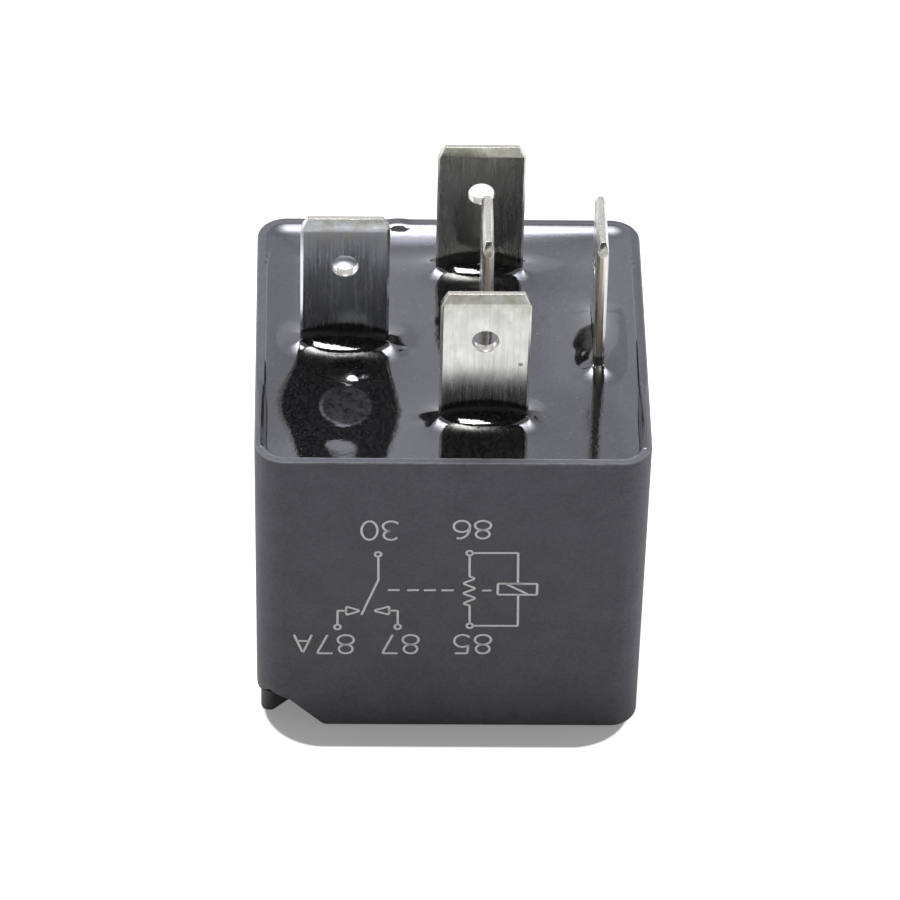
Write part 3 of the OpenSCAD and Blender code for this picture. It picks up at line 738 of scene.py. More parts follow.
# %% [markdown]
# ## Case plastic
# The case is black glass-filled nylon with a fine, dull moulded skin. Under a large soft light it
# reads as dark grey. Its tone wanders a little, dust sits on it, and the rim is rubbed paler where
# sockets and fingers touch it. A picture of plastic could be wrapped round it, but noise has no
# seams and stays sharp from close by.

# %% Case, base and bobbin
DUST, RUBBED_PALE = (0.3, 0.3, 0.29), (0.34, 0.34, 0.35)
RUBBED_Z = (18, 23)
SKIN_SWING = 0.07


def moulding(name, dark, pale, rough, grain_depth, rub, dust):
    """A dull moulded plastic."""
    finish, tree, shader = new_finish(name, rough)
    skin = place_group(tree, grain, {"Scale": 5200.0})
    fleck = noise_at(tree, 4200.0, 1.0)
    tone = remap(skin["Tone"], 0.3, 0.7) * 0.5 + remap(fleck, 0.25, 0.75, 0.0, 0.5)
    dusty = place_group(tree, specks, {"Scale": 1500.0, "Size": dust})["Mask"]
    base = colour(dusty * 0.35, colour(tone, dark, pale), DUST)
    worn = place_group(tree, rubbed, {"Scale": 900.0, "Amount": rub})["Mask"]
    base = colour(worn * remap(millimetres(tree)[2], *RUBBED_Z), base, RUBBED_PALE)
    gloss = remap(skin["Height"], 0.2, 0.8, rough - SKIN_SWING, rough + SKIN_SWING)
    wire(shader, {"Base Color": base, "Roughness": gloss})
    bumped(shader, skin["Height"], grain_depth)
    return finish


for part, dark, pale, *rest in (
        ("case", (0.038, 0.038, 0.044), (0.08, 0.08, 0.088), 0.56, 0.012, 0.35, 0.05),
        ("base", (0.04, 0.04, 0.043), (0.06, 0.06, 0.063), 0.5, 0.01, 0.2, 0.03),
        ("bobbin", (0.1, 0.11, 0.13), (0.14, 0.15, 0.17), 0.45, 0.008, 0.2, 0.03)):
    FINISH[part + "_plastic"] = moulding(part + " plastic", dark, pale, *rest)
print("mouldings:", list(FINISH))

# %% [markdown]
# ## Resin
# The resin is black all through and its skin is as smooth as glass, so nearly all that shows is
# what it mirrors: the pale room behind, and dark blades. Specks of dust set into the skin break the
# mirror up. Inside the ring where a bubble burst, the colour is painted grey and patchy, with a paler
# rim on its left and front side: a painted reflection of the blade hole that the resin mirrors there.

# %% Resin finish
RESIN_DARK, RESIN_MOTTLE, RESIN_DUST = (0.003, 0.003, 0.004), (0.026, 0.025, 0.025), (0.25, 0.25, 0.25)
RESIN_IOR, RESIN_GRAIN = 1.65, 0.0035
# Painted reflection of a blade hole: the size, grey and paler rim of the disc inside the bubble's ring.
BUBBLE, BUBBLE_HALF = MARKS["bubble's lip"][:2], (1.85, 2.2)
HOLE_REFLECTION_GREY, HOLE_RIM_REFLECTION_PALE, LIP_AT = (0.06, 0.06, 0.062), (0.2, 0.2, 0.2), 0.95
resin_finish, tree, shader = new_finish("casting resin", 0.07)
cloud = place_group(tree, smudges, {"Scale": 420.0, "Cover": 0.55})["Mask"]
dusty = place_group(tree, specks, {"Scale": 3400.0, "Size": 0.15})["Mask"]
base = colour(remap(noise_at(tree, 4800.0, 2.0), 0.4, 0.72), RESIN_DARK, RESIN_MOTTLE)
base = colour(dusty * 0.3, base, RESIN_DUST)
off_x, off_y = ((at - centre) / half for at, centre, half in zip(millimetres(tree), BUBBLE, BUBBLE_HALF))
radius = length(off_x, off_y)
patchy = remap(noise_at(tree, 1500.0, 4.0, 0.6), 0.3, 0.7)
# Painted reflection: a grey patchy disc inside the bubble's ring, and a paler rim on its left and front
# side.
base = colour(remap(radius, LIP_AT, 1.05, 1.0, 0.0) * patchy, base, HOLE_REFLECTION_GREY)
lip = remap(abs(radius - LIP_AT), 0.03, 0.1, 1.0, 0.0) * remap(off_x + off_y, 0.3, -0.6)
base = colour(lip * patchy, base, HOLE_RIM_REFLECTION_PALE)
haze = remap(cloud, 0.0, 1.0, 0.05, 0.11) + dusty * 0.25
wire(shader, {"IOR": RESIN_IOR, "Base Color": base, "Roughness": haze})
bumped(shader, place_group(tree, grain, {"Scale": 3200.0})["Height"] + dusty * 2.0, RESIN_GRAIN)
FINISH["resin"] = resin_finish
print("resin finish nodes:", len(tree.nodes))

# %% Pour the resin
RESIN_CREASE = math.radians(50)
resin.data.shade_smooth()
add_tree(resin, surface, {"Finish": resin_finish})
plain(resin).set_sharp_from_angle(angle=RESIN_CREASE)
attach(resin, "relay")
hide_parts("potting")
heights = [v.co.z / MM for v in resin.data.vertices]
print("resin from", round(min(heights), 2), "to", round(max(heights), 2), "mm")

# %% [markdown]
# ## Blades
# The blades are punched from brass strip that was tinned before punching. So their faces are grey
# tin with a rolled grain and fine brushed streaks, while the punched edges show warm brass. A punch
# shears the first half of the thickness cleanly and tears the rest, and so one half of each edge is
# bright and the other is dull and brown. Towards the tip the tin is tarnished, a few nicks are dark,
# and at the foot a film of resin has crept up in an arch. Three attributes tell the shader where it
# is: cut is 1 on a punched edge and 0.5 on the tip, while across and along run from -1 to 1 through
# the thickness and over the width.

# %% Mark the punched edges
SIDEWAYS, UPWARD = 0.9, 0.8


def mark_edges(mesh, place):
    """Store cut, across and along on a terminal's mesh."""
    thin = 0 if place[2] < place[3] else 1
    wide = 1 - thin
    store(mesh, "cut", "FACE", [
        1.0 if abs(face.normal[wide]) > SIDEWAYS else 0.5 * (face.normal[2] > UPWARD)
        for face in mesh.polygons])
    for name, axis, half in (("across", thin, BLADE_HALF[1]), ("along", wide, BLADE_HALF[0])):
        store(mesh, name, "POINT", [(v.co[axis] / MM - place[axis]) / half for v in mesh.vertices])


for number, place in blade_places.items():
    mark_edges(pieces["terminal_" + number].data, place)
print("punched edges marked on", len(blade_places), "blades")

# %% Tin on the faces
TIN_DARK, TIN_PALE, TIN_STAIN = (0.56, 0.56, 0.52), (0.75, 0.75, 0.70), (0.36, 0.35, 0.28)
STREAKED, NICKED, TARNISHED = (0.36, 0.36, 0.34), (0.16, 0.14, 0.11), (0.38, 0.365, 0.27)
# Painted reflection and painted shade for the left blade only: a pale bluish tone, and a darker band
# below its tip.
PAINTED_REFLECTION_TIN, PAINTED_SHADE_TIN = (0.76, 0.785, 0.83), (0.2, 0.205, 0.22)
TARNISH_Z, PAINTED_SHADE_Z, COINED_Z = (33.2, 35.0), (32.6, 34.4), (34.75, 34.95)
LEFT_BLADE_X = (-4.0, -3.0)
tin, tree, shader = new_finish("tinned brass", 0.22, 0.95)
rolled = place_group(tree, strip, {"Scale": 9000.0})
stain = place_group(tree, smudges, {"Scale": 520.0, "Cover": 0.5})["Mask"]
base = colour(remap(rolled["Tone"], 0.32, 0.68), TIN_DARK, TIN_PALE)
base = colour(stain * 0.4, base, TIN_STAIN)
streak = noise_at(tree, 3600.0, 3.0, 0.65, (1, 1, 0.05))
base = colour(remap(streak, 0.48, 0.75, 0.0, 0.22), base, STREAKED)
side, _, height = millimetres(tree)
# Painted reflection and painted shade on the left blade: a pale bluish tone over it, and a darker band
# below its coined tip.
on_left = remap(side, *LEFT_BLADE_X, 1.0, 0.0)
base = colour(on_left * 0.7, base, PAINTED_REFLECTION_TIN)
painted_shade_band = remap(height, *PAINTED_SHADE_Z, 0.0, 0.75) * remap(height, *COINED_Z, 1.0, 0.0)
base = colour(on_left * painted_shade_band, base, PAINTED_SHADE_TIN)
patchy = remap(noise_at(tree, 800.0, 4.0, 0.6), 0.35, 0.65)
base = colour(patchy * remap(height, *TARNISH_Z, 0.0, 0.8), base, TARNISHED)
nicks = place_group(tree, specks, {"Scale": 430.0, "Size": 0.075})["Mask"]
base = colour(nicks * 0.8, base, NICKED)
print("tin nodes so far:", len(tree.nodes))

# %% Brass on the punched edges, and the film at the foot
SHEARED, TORN, COINED_TIP = (0.86, 0.84, 0.77), (0.52, 0.43, 0.31), (0.27, 0.262, 0.218)
FILM_TOP, FILM_ARCH, FILM_SOFT, FILM_WAVE = 26.55, 0.75, 0.25, 0.12
FILM_COLOUR, FILM_COVER = (0.05, 0.046, 0.042), 0.9
BLADE_GRAIN = 0.007
cut = attribute(tree, "cut")
ragged = attribute(tree, "across") + remap(rolled["Height"], 0.2, 0.8, -0.25, 0.25)
torn = remap(ragged, -0.05, 0.2, 1.0, 0.0) * remap(cut, 0.5, 1.0)
edge_colour = colour(remap(abs(cut - 0.5), 0.0, 0.5), COINED_TIP, colour(torn, SHEARED, TORN))
base = colour(remap(cut, 0.0, 0.5), base, edge_colour)
along = attribute(tree, "along")
film_edge = height + along * along * FILM_ARCH + remap(rolled["Height"], 0.2, 0.8, -FILM_WAVE, FILM_WAVE)
wet = remap(film_edge, FILM_TOP, FILM_TOP + FILM_SOFT, FILM_COVER, 0.0)
base = colour(wet * remap(height, RESIN_FOOT_Z - 0.1, RESIN_FOOT_Z), base, FILM_COLOUR)
dull = remap(rolled["Height"], 0.3, 0.7, 0.195, 0.275) + remap(streak, 0.3, 0.7, -0.03, 0.04)
wire(shader, {"Base Color": base, "Roughness": dull + cut * remap(torn, 0.0, 1.0, 0.06, 0.22)})
bumped(shader, rolled["Height"] + streak * 0.3, BLADE_GRAIN)
FINISH["tinned_brass"] = tin
print("tin nodes:", len(tree.nodes))

# %% [markdown]
# ## Inner metals
# Inside the case sit the iron magnet circuit, the copper coil, a bronze spring and silver contacts.
# None of them shows in normal use, but a part that is taken apart has to look right too. One
# function makes them all, with a base colour, a stain and a roughness of its own.

# %% Metals by colour and gloss
RUB_GAIN, METAL_GRAIN = 1.25, 0.005


def metal(name, clean, stained, rough):
    """A bare or plated metal with rolled grain and stains."""
    finish, tree, shader = new_finish(name, rough, 1.0)
    rolled = place_group(tree, strip, {"Scale": 7000.0})
    stain = place_group(tree, smudges, {"Scale": 450.0, "Cover": 0.45})["Mask"]
    worn = place_group(tree, rubbed, {"Scale": 700.0, "Amount": 0.5})["Mask"]
    base = colour(worn, colour(stain * 0.6, clean, stained), [min(1.0, c * RUB_GAIN) for c in clean])
    gloss = remap(rolled["Tone"], 0.3, 0.7, rough - 0.06, rough + 0.08)
    wire(shader, {"Base Color": base, "Roughness": gloss})
    bumped(shader, rolled["Height"], METAL_GRAIN)
    return finish


for name, *look in (
        ("soft iron", (0.5, 0.5, 0.52), (0.38, 0.36, 0.33), 0.34),
        ("plated iron", (0.62, 0.62, 0.6), (0.5, 0.47, 0.38), 0.3),
        ("spring bronze", (0.72, 0.5, 0.3), (0.5, 0.33, 0.2), 0.28),
        ("contact silver", (0.82, 0.82, 0.8), (0.6, 0.58, 0.52), 0.24),
        ("rivet steel", (0.55, 0.55, 0.55), (0.42, 0.4, 0.37), 0.36),
        ("tinned wire", (0.72, 0.71, 0.68), (0.55, 0.53, 0.48), 0.28),
        ("solder", (0.66, 0.66, 0.66), (0.5, 0.5, 0.48), 0.22),
        ("enamelled copper", (0.6, 0.26, 0.1), (0.42, 0.16, 0.06), 0.26)):
    FINISH[name.replace(" ", "_")] = metal(name, *look)
LACQUER_DARK, LACQUER_PALE, LACQUER_GRAIN = (0.16, 0.27, 0.36), (0.26, 0.4, 0.5), 0.01
lacquer, tree, shader = new_finish("resistor lacquer", 0.3)
shade = place_group(tree, grain, {"Scale": 2500.0})
wire(shader, {"Base Color": colour(shade["Tone"], LACQUER_DARK, LACQUER_PALE)})
bumped(shader, shade["Height"], LACQUER_GRAIN)
FINISH["resistor_body"] = lacquer
print("finishes:", len(FINISH))

# %% [markdown]
# ## The winding
# The coil is wound from enamelled wire in many layers. Only the outermost layer can be seen, and it
# is a plain screw line: the Spiral node draws it and Curve to Mesh gives it a round section. The
# layers beneath are one plain sleeve.

# %% Coil turns
WIRE = 0.3
low, high = (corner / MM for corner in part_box("winding"))
coil_centre = (low + high) / 2
coil_radius = (high.x - low.x) / 2
turns, given, result = start_tree("Coil turns", "GeometryNodeTree", {
    "Geometry": "Geometry", "Wire": WIRE, "Radius": 6.0, "Height": 9.0, "Foot": "Vector",
    "Finish": "Material"}, {"Geometry": "Geometry"})
rise = given["Height"] - given["Wire"]
line_radius = (given["Radius"] - given["Wire"] / 2.0) * MM
spiral = value(turns, "GeometryNodeCurveSpiral", {
    "Resolution": 36, "Rotations": rise / given["Wire"], "Start Radius": line_radius,
    "End Radius": line_radius, "Height": rise * MM})
section = value(turns, "GeometryNodeCurvePrimitiveCircle", {
    "Resolution": 8, "Radius": given["Wire"] * (0.5 * MM)})
wound = value(turns, "GeometryNodeCurveToMesh", {
    "Curve": spiral, "Profile Curve": section, "Fill Caps": True})
raised = value(turns, "GeometryNodeTransform", {"Geometry": wound, "Translation": given["Foot"]})
joined = put(turns, "GeometryNodeJoinGeometry")
for part in (raised, given["Geometry"]):
    wire(joined, {0: part})
end_tree(result, Value(joined.outputs[0]), given["Finish"])

# %% Sleeve of the inner layers, and the wound coil
SLEEVE_SIDES, BARREL_RADIUS, COIL_CREASE = 64, 3.45, math.radians(60)
sleeve = bmesh.new()
sleeve_radius = coil_radius - WIRE / 2
angles = [2 * math.pi * k / SLEEVE_SIDES for k in range(SLEEVE_SIDES)]
rings = []
for radius, level in ((BARREL_RADIUS, low.z), (sleeve_radius, low.z),
                      (sleeve_radius, high.z), (BARREL_RADIUS, high.z)):
    offsets = [(radius * math.cos(a), radius * math.sin(a)) for a in angles]
    places = [Vector((coil_centre.x + x, coil_centre.y + y, level)) for x, y in offsets]
    rings.append([sleeve.verts.new(place * MM) for place in places])
for ring_a, ring_b in zip(rings, rings[1:] + rings[:1]):
    for k in range(SLEEVE_SIDES):
        n = (k + 1) % SLEEVE_SIDES
        sleeve.faces.new((ring_a[k], ring_a[n], ring_b[n], ring_b[k]))
bmesh.ops.recalc_face_normals(sleeve, faces=sleeve.faces)
coil = from_work(sleeve, "winding_turns")
foot = Vector((coil_centre.x, coil_centre.y, low.z + WIRE / 2)) * MM
add_tree(coil, turns, {
    "Wire": WIRE, "Radius": coil_radius, "Height": high.z - low.z, "Foot": foot,
    "Finish": FINISH["enamelled_copper"]})
plain(coil).shade_smooth()
coil.data.set_sharp_from_angle(angle=COIL_CREASE)
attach(coil, "relay")
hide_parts("winding")
print("coil faces:", len(coil.data.polygons))

# %% [markdown]
# ## The contact spring
# The spring is one bronze leaf: its upright leg is riveted to the yoke, and its flat part carries
# the armature and the moving contact. When the magnet pulls, only the bend between them flexes. The
# leaf is cut into short lengths there.

# %% Cut the leaf into short lengths at the bend
BEND_LOW, BEND_STEP, BEND_CUTS = 4.3, 0.35, 9
CUTS = [BEND_LOW + BEND_STEP * k for k in range(BEND_CUTS)]
work = merged("contact_spring")
for level in CUTS:
    bmesh.ops.bisect_plane(work, geom=work.verts[:] + work.edges[:] + work.faces[:],
                           plane_co=(0, 0, level * MM), plane_no=(0, 0, 1))
bmesh.ops.triangulate(work, faces=[f for f in work.faces if len(f.verts) > 4])
leaf = from_work(work, "contact_spring_leaf")
leaf.data.shade_smooth()
leaf.data.set_sharp_from_angle(angle=SHARP)
leaf.data.materials.append(FINISH["spring_bronze"])
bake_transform(leaf)
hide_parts("contact_spring")
print("leaf faces:", len(leaf.data.polygons))

# %% [markdown]
# ## Print on the front
# A pale ink print on the front gives the terminal numbers and the circuit: a changeover contact, a
# coil and the resistor across it. It reads upright when the blades point down, so here it stands on
# its head. Print could be an image, but real strokes stay crisp at any distance. Each stroke is a
# path in the plane of the face, and a tree turns all the paths into thin flat ribbons of ink.

# %% Stroke digits in a box one unit high
def arc(x, y, radius_x, radius_y, start, end, steps=14):
    """Points on an ellipse from one angle to another, in degrees."""
    angles = [math.radians(start + (end - start) * k / steps) for k in range(steps + 1)]
    return [(x + radius_x * math.cos(a), y + radius_y * math.sin(a)) for a in angles]


GLYPHS = {
    "0": [arc(0.33, 0.5, 0.33, 0.5, 90, 450, 28)],
    "3": [arc(0.3, 0.75, 0.3, 0.25, 150, -90) + arc(0.3, 0.27, 0.34, 0.27, 90, -150)[1:]],
    "5": [[(0.6, 1.0), (0.1, 1.0), (0.06, 0.56)] + arc(0.3, 0.33, 0.34, 0.33, 135, -145)],
    "6": [arc(0.33, 0.32, 0.33, 0.32, 170, -190, 26)[:-1] + [(0.0, 0.36)]
          + arc(0.42, 0.38, 0.42, 0.62, 180, 75)],
    "7": [[(0.0, 1.0), (0.64, 1.0), (0.22, 0.0)]],
    "8": [arc(0.33, 0.76, 0.28, 0.24, 90, 450, 24), arc(0.33, 0.26, 0.33, 0.26, 90, 450, 24)],
    "A": [[(0.0, 0.0), (0.36, 1.0), (0.72, 0.0)], [(0.12, 0.33), (0.6, 0.33)]],
}
ADVANCE, LAST_WIDTH = 0.86, 0.66
NUMBERS = {
    "30": (-6.36, -3.78, 17.96, 19.68), "86": (0.1, 2.72, 18.13, 19.77),
    "87A": (-10.95, -6.8, 7.17, 8.93), "87": (-4.8, -2.19, 7.2, 8.97), "85": (0.31, 2.97, 7.23, 9.01),
}
strokes = []
for text, (left, right, low_z, high_z) in NUMBERS.items():
    wide = (right - left) / (ADVANCE * (len(text) - 1) + LAST_WIDTH)
    tall = high_z - low_z
    for k, digit in enumerate(text):
        for path in GLYPHS[digit]:
            strokes.append([(right - (ADVANCE * k + x) * wide, high_z - y * tall) for x, y in path])
print("digit strokes:", len(strokes))

# %% Strokes of the circuit
RING = 0.22
DASH_Z = (13.24, 13.25)
for x, z in ((-5.17, 16.6), (-7.98, 9.7), (-3.7, 9.74), (1.27, 16.76), (1.42, 9.88)):
    strokes.append(arc(x, z, RING, RING, 90, 450, 18))
strokes += [
    [(-5.15, 16.36), (-5.12, 14.2), (-6.28, 10.88)],
    [(-7.98, 9.94), (-7.98, 11.26), (-7.38, 11.26)],
    [(-7.37, 11.26), (-7.37, 11.66), (-6.34, 11.26), (-7.37, 10.84), (-7.37, 11.26)],
    [(-3.7, 9.98), (-3.71, 11.29), (-4.31, 11.29)],
    [(-4.32, 11.29), (-4.32, 11.68), (-5.5, 11.27), (-4.32, 10.92), (-4.32, 11.29)],
    [(1.5, 16.77), (4.69, 16.79), (4.74, 13.9)],
    [(4.78, 12.86), (4.84, 9.89), (1.65, 9.88)],
    [(4.7, 13.9), (3.33, 13.9), (3.33, 12.86), (6.11, 12.86), (6.11, 13.9), (4.7, 13.9)],
    [(3.92, 13.86), (5.48, 12.9)],
    [(1.28, 16.52), (1.31, 14.56), (1.75, 14.36), (0.82, 13.9), (1.8, 13.43), (0.82, 12.97),
     (1.82, 12.51), (0.86, 12.0), (1.37, 11.8), (1.41, 10.12)],
]
for ends in ((-4.44, -3.61), (-3.08, -2.25), (-1.9, -1.04), (-0.66, 0.22), (2.22, 2.9)):
    strokes.append(list(zip(ends, DASH_Z)))
print("all strokes:", len(strokes))

# %% Ink ribbons on the drafted face
FOOT_HALF, DRAFT = 13.7, 0.008
ink, given, result = start_tree("Ink ribbons", "GeometryNodeTree", {
    "Geometry": "Geometry", "Stroke": 0.168, "Film": 0.02, "Corner": 0.08, "Sunk": 0.006,
    "Finish": "Material"}, {"Geometry": "Geometry"})
turned = value(ink, "GeometryNodeFilletCurve", {
    "Curve": given["Geometry"], "Radius": given["Corner"] * MM, "Count": 3, "Limit Radius": True},
    mode="POLY")
band = value(ink, "GeometryNodeCurvePrimitiveQuadrilateral", {
    "Width": given["Stroke"] * MM, "Height": given["Film"] * MM})
ribbon = value(ink, "GeometryNodeCurveToMesh", {
    "Curve": turned, "Profile Curve": band, "Fill Caps": True})
lift = value(ink, "ShaderNodeCombineXYZ", {2: (given["Film"] / 2.0 - given["Sunk"]) * MM})
proud = value(ink, "GeometryNodeTransform", {"Geometry": ribbon, "Translation": lift})
upright = value(ink, "GeometryNodeTransform", {
    "Geometry": proud, "Translation": (0, -FOOT_HALF * MM, 0),
    "Rotation": (math.pi / 2 + math.atan(DRAFT), 0, 0)})
end_tree(result, upright, given["Finish"])

# %% Ink finish, and the finished print
INK, INK_WORN = (0.74, 0.73, 0.70), (0.55, 0.54, 0.52)
CLOSED = 1e-6
ink_finish, tree, shader = new_finish("pale ink", 0.6)
worn = place_group(tree, smudges, {"Scale": 2600.0, "Cover": 0.55})["Mask"]
wire(shader, {"Base Color": colour(worn, INK, INK_WORN)})
paths = bpy.data.curves.new("print_paths", "CURVE")
paths.dimensions = "3D"
paths.twist_mode = "Z_UP"
for path in strokes:
    closed = (Vector(path[0]) - Vector(path[-1])).length < CLOSED
    points = path[:-1] if closed else path
    spline = paths.splines.new("POLY")
    spline.points.add(len(points) - 1)
    for point, (x, z) in zip(spline.points, points):
        point.co = (x * MM, z * MM, 0, 1)
    spline.use_cyclic_u = closed
path_object = shown("print_paths", paths)
add_tree(path_object, ink, {"Finish": ink_finish})
front_print = shown("front_print", made_mesh(path_object))
bpy.data.objects.remove(path_object)
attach(front_print, "relay")
print("print faces:", len(front_print.data.polygons))

# %% [markdown]
# ## Every piece gets its finish
# The record names a material slot for each CAD node. The rounded copies and the nodes that are
# shown as they are take the finish of that slot. Each could be set by hand, but a loop over the
# record forgets none.

# %% Give out the finishes
for part in record["subparts"]:
    node, slot = part["node"], part["material_slot"]
    piece = pieces.get(node, cad[node])
    if piece.hide_render:
        continue
    piece.data.materials.clear()
    piece.data.materials.append(FINISH[slot])

# %% [markdown]
# ## Floor
# The relay stands on a white table in a light tent. The part of the floor's brightness that only the
# camera and mirrors see keeps the background white, and the floor still takes the shadow. A rounded
# grey strip close round the foot is a painted contact shadow: its colour is grey and its glow is low.
# Around the strip the floor's colour is painted darker, a painted shade that dims the light thrown back
# onto the relay's front. Towards the camera the mirrored floor grows darker, as if the table ended
# there. A picture could be laid on the floor instead, but a mask made by nodes from the place on the
# floor is sharp and easy to change.

# %% White floor
WHITE = (1.0, 1.0, 1.0, 1.0)
# The strip's grey colour and low glow make a painted contact shadow; the grey near it is painted shade.
FLOOR_GLOW, PAINTED_SHADOW_GLOW, FLOOR_MIRRORED, FADED_SHARE = 0.9, 0.23, 0.5, 0.1
FADE_Y, SHADE_REACH = (-75.0, -50.0), 14.0
STRIP_SIDE, STRIP_FRONT, STRIP_BACK, STRIP_ROUND, STRIP_SOFT = 13.3, 15.9, (-7.0, -6.0), 4.5, 0.2
PAINTED_SHADOW_GREY, PAINTED_SHADE_GREY, TABLE_WHITE = (0.22, 0.22, 0.22), (0.5, 0.5, 0.5), (0.8, 0.8, 0.8)
FLOOR_SIZE, FLOOR_Z = (4, 4), -1e-5


def staged_sheet(name, centre, facing, size, finish, hidden=()):
    """A flat sheet of the set: it faces a point, and is no part of the relay."""
    turn = (Vector(facing) - Vector(centre)).to_track_quat("Z", "Y")
    half_w, half_h = size[0] / 2, size[1] / 2
    corners = [(-half_w, -half_h, 0), (half_w, -half_h, 0), (half_w, half_h, 0), (-half_w, half_h, 0)]
    mesh = bpy.data.meshes.new(name)
    mesh.from_pydata([Vector(centre) + turn @ Vector(c) for c in corners], [], [(0, 1, 2, 3)])
    mesh.materials.append(finish)
    sheet = shown(name, mesh)
    sheet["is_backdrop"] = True
    for rays in hidden:
        setattr(sheet, "visible_" + rays, False)


floor_finish, tree, shader = new_finish("white floor", 1.0)
across, depth, _ = millimetres(tree)
# Painted contact shadow: a rounded strip round the foot where the colour is grey and the glow is low.
past_side = calc("MAXIMUM", abs(across) - (STRIP_SIDE - STRIP_ROUND), 0.0)
past_front = calc("MAXIMUM", -depth - (STRIP_FRONT - STRIP_ROUND), 0.0)
off_strip = length(past_side, past_front)
outside_painted_shadow = remap(off_strip, STRIP_ROUND - STRIP_SOFT, STRIP_ROUND)
outside_painted_shadow = calc("MAXIMUM", outside_painted_shadow, remap(depth, *STRIP_BACK))
# Painted shade: from the strip outwards the floor's colour is darker, fading over SHADE_REACH.
floor_with_painted_shade = colour(remap(off_strip, STRIP_ROUND, STRIP_ROUND + SHADE_REACH), PAINTED_SHADE_GREY, TABLE_WHITE)
rays = outputs(put(tree, "ShaderNodeLightPath"))
mirrored = rays["Is Glossy Ray"] * remap(depth, *FADE_Y, FADED_SHARE * FLOOR_MIRRORED, FLOOR_MIRRORED)
seen = calc("MAXIMUM", calc("MAXIMUM", rays["Is Camera Ray"], rays["Is Transmission Ray"]), mirrored)
wire(shader, {
    "Specular IOR Level": 0.0, "Emission Color": WHITE, "Base Color": colour(outside_painted_shadow, PAINTED_SHADOW_GREY, floor_with_painted_shade),
    "Emission Strength": seen * remap(outside_painted_shadow, 0.0, 1.0, PAINTED_SHADOW_GLOW, FLOOR_GLOW)})
staged_sheet("floor", (0, 0, FLOOR_Z), (0, 0, 1), FLOOR_SIZE, floor_finish)
print("floor nodes:", len(tree.nodes))

# %% [markdown]
# ## What the mirrors see
# Tin and resin show the room more than themselves. A dark card behind the camera keeps the mirrors
# in the blades dark. The resin mirrors a graded sheet behind the relay: pale blue grey for most of
# its height, and as bright as a lamp at its top, which gives the glint along the back rim. Both are
# hidden from the camera and light nothing, so they change only reflections.

# %% Dark card and graded sheet
UNSEEN = ("camera", "diffuse", "shadow")
CARD_DARK, CARD_PALE = (0.012, 0.012, 0.012), (0.02, 0.02, 0.02)
CARD_AT, CARD_FACES, CARD_SIZE = (0, -0.42, 0.66), (0, 0, 0.02), (1.7, 1.2)
SHEET_AT, SHEET_FACES, SHEET_SIZE = (0, 0.3540, 0.4948), (0, 0.1427, 0.0416), (0.9, 0.4795)
PANEL_LEVEL, PANEL_TINT = 1.1, (0.94, 0.95, 1.16)
SHEET_LEVEL, SHEET_PEAK, SHEET_TINT = PANEL_LEVEL + 1.0, 22.0, (0.965, 0.97, 1.12, 1.0)
PEAK_Z, PEAK_BEND, PEAK_X, PEAK_FADE, PEAK_LEAST = (478, 570), 2.5, -30, (50, 220), 0.12
SIDE_FALL, FALLEN = (15, 35), 0.8
card_finish, tree, shader = new_finish("dark card", 0.9)
wire(shader, {"Base Color": colour(noise_at(tree, 40.0), CARD_DARK, CARD_PALE)})
staged_sheet("dark card", CARD_AT, CARD_FACES, CARD_SIZE, card_finish, UNSEEN)

sheet_finish, tree, shader = new_finish("graded sheet", 1.0)
side, _, height = millimetres(tree)
climbing = remap(height, *PEAK_Z) ** PEAK_BEND
fading = remap(abs(side - PEAK_X), *PEAK_FADE, 1.0, PEAK_LEAST)
level = remap(side, *SIDE_FALL, SHEET_LEVEL, FALLEN * SHEET_LEVEL)
wire(shader, {
    "Base Color": (0.0, 0.0, 0.0, 1.0), "Specular IOR Level": 0.0, "Emission Color": SHEET_TINT,
    "Emission Strength": level + climbing * fading * SHEET_PEAK})
sheet_finish.cycles.emission_sampling = "NONE"
staged_sheet("graded sheet", SHEET_AT, SHEET_FACES, SHEET_SIZE, sheet_finish, UNSEEN)
print("card and sheet are hidden from:", UNSEEN)

# %% [markdown]
# ## Room and lamps
# Soft lamps hang above and a little behind, a large pale panel stands behind and two more at the
# sides. The front is lit mostly by the white floor, and so it grows darker towards its foot. A lamp
# that would burn a hole in the resin's mirror is hidden from glossy rays, and one small lamp shows
# in mirrors only and draws the glints at the blades' feet.

# %% Room, lamps and panels
ROOM = 0.3
AIM_Z = 0.02
world = bpy.data.worlds.new("light tent")
scene.world = world
world.use_nodes = True
rays = outputs(put(world.node_tree, "ShaderNodeLightPath"))
seen = calc("MAXIMUM", rays["Is Camera Ray"], rays["Is Glossy Ray"])
seen = calc("MAXIMUM", seen, rays["Is Transmission Ray"])
wire(world.node_tree.nodes["Background"], {"Color": WHITE, "Strength": remap(seen, 0.0, 1.0, ROOM, 1.0)})


def soft_lamp(name, place, size, radiance, tint, hidden=()):
    """A square of light that faces the relay; radiance 1 looks white."""
    data = bpy.data.lights.new(name, "AREA")
    data.shape = "RECTANGLE"
    data.size, data.size_y = size
    data.energy = radiance * math.pi * size[0] * size[1]
    data.color = tint
    lamp = shown(name, data)
    lamp.location = place
    lamp.rotation_mode = "QUATERNION"
    lamp.rotation_quaternion = (Vector((0, 0, AIM_Z)) - lamp.location).to_track_quat("-Z", "Y")
    for rays in ("camera", *hidden):
        setattr(lamp, "visible_" + rays, False)


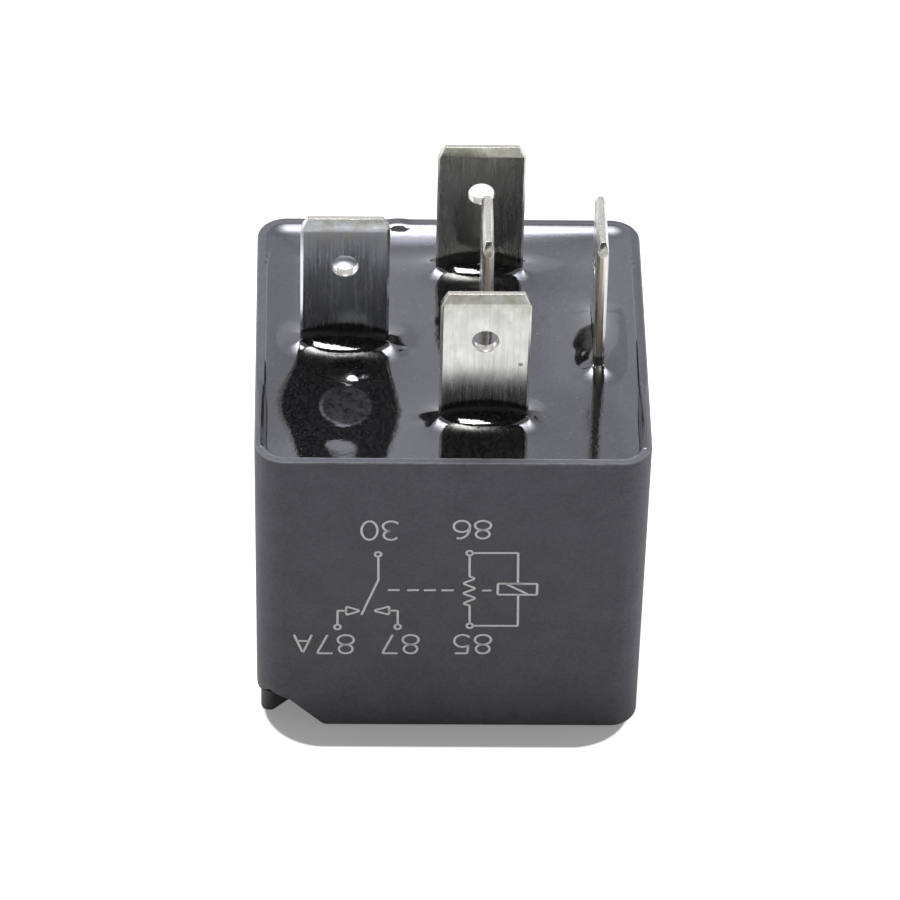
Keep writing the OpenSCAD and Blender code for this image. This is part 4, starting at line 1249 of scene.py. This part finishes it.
WARM, COOL, SIDE_TINT = (1.0, 1.0, 0.99), (0.95, 0.95, 1.12), (0.96, 0.98, 1.1)
soft_lamp("lamp above", (-0.03, 0.1516, 0.5287), (0.1, 0.194), 14.0, (0.99, 0.99, 1.02), ["glossy"])
soft_lamp("lamp overhead", (-0.035, 0.025, 0.52), (0.1, 0.05), 30.0, WARM, ["glossy"])
soft_lamp("lamp in the mirrors", (-0.035, -0.072, 0.513), (0.1, 0.09), 28.0, WARM, ["diffuse"])
soft_lamp("panel above", (-0.02, 0.318, 0.529), (0.2, 0.125), 4.0, COOL, ["glossy"])
soft_lamp("panel behind", (0.0, 0.72, 0.42), (2.2, 0.84), PANEL_LEVEL, PANEL_TINT)
for side, radiance in ((-1, 1.2), (1, 1.6)):
    soft_lamp("panel at a side", (side * 0.62, 0.05, 0.28), (0.5, 0.45), radiance, SIDE_TINT)
scene.view_settings.view_transform = "Standard"

# %% [markdown]
# ## Camera
# The camera looks down at the front with a long lens. Its angles, distance and focal length were
# fitted to the blade pitch, which is known to the tenth of a millimetre. It could be placed by eye,
# but then every outline would be a little off.

# %% Camera
ELEVATION, TURN, ROLL = (math.radians(a) for a in (39.9, 1.735, 1.432))
DISTANCE, AIM = 0.44055, Vector((0.000125, 0.0, 0.014625))
FOCAL_PIXELS, IMAGE_PIXELS, SENSOR = 6091.5, 900, 36.0
right = Vector((1, 0, 0))
up = Vector((0, math.sin(ELEVATION), math.cos(ELEVATION)))
ahead = Vector((0, math.cos(ELEVATION), -math.sin(ELEVATION)))
rolled_right = right * math.cos(ROLL) + up * math.sin(ROLL)
rolled_up = up * math.cos(ROLL) - right * math.sin(ROLL)
axes = Matrix((rolled_right, rolled_up, -ahead)).transposed().to_4x4()
camera_data = bpy.data.cameras.new("camera")
camera_data.sensor_width = SENSOR
camera_data.lens = FOCAL_PIXELS / IMAGE_PIXELS * SENSOR
camera_data.clip_start, camera_data.clip_end = 0.01, 10.0
camera = shown("camera", camera_data)
camera.matrix_world = Matrix.Rotation(-TURN, 4, "Z") @ Matrix.Translation(AIM - ahead * DISTANCE) @ axes
scene.camera = camera
print("camera at (mm):", [round(c / MM, 1) for c in camera.matrix_world.translation])

# %% [markdown]
# ## The last look at the size
# A socket is cut to the CAD sizes, so the finished pieces may not outgrow the CAD box.

# %% The sizes at the end
sizes = {"frame": [list(c) for c in frame_box], "visual": [list(c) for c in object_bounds()]}
print("visual box in mm:", [[round(c / MM, 3) for c in corner] for corner in sizes["visual"]])
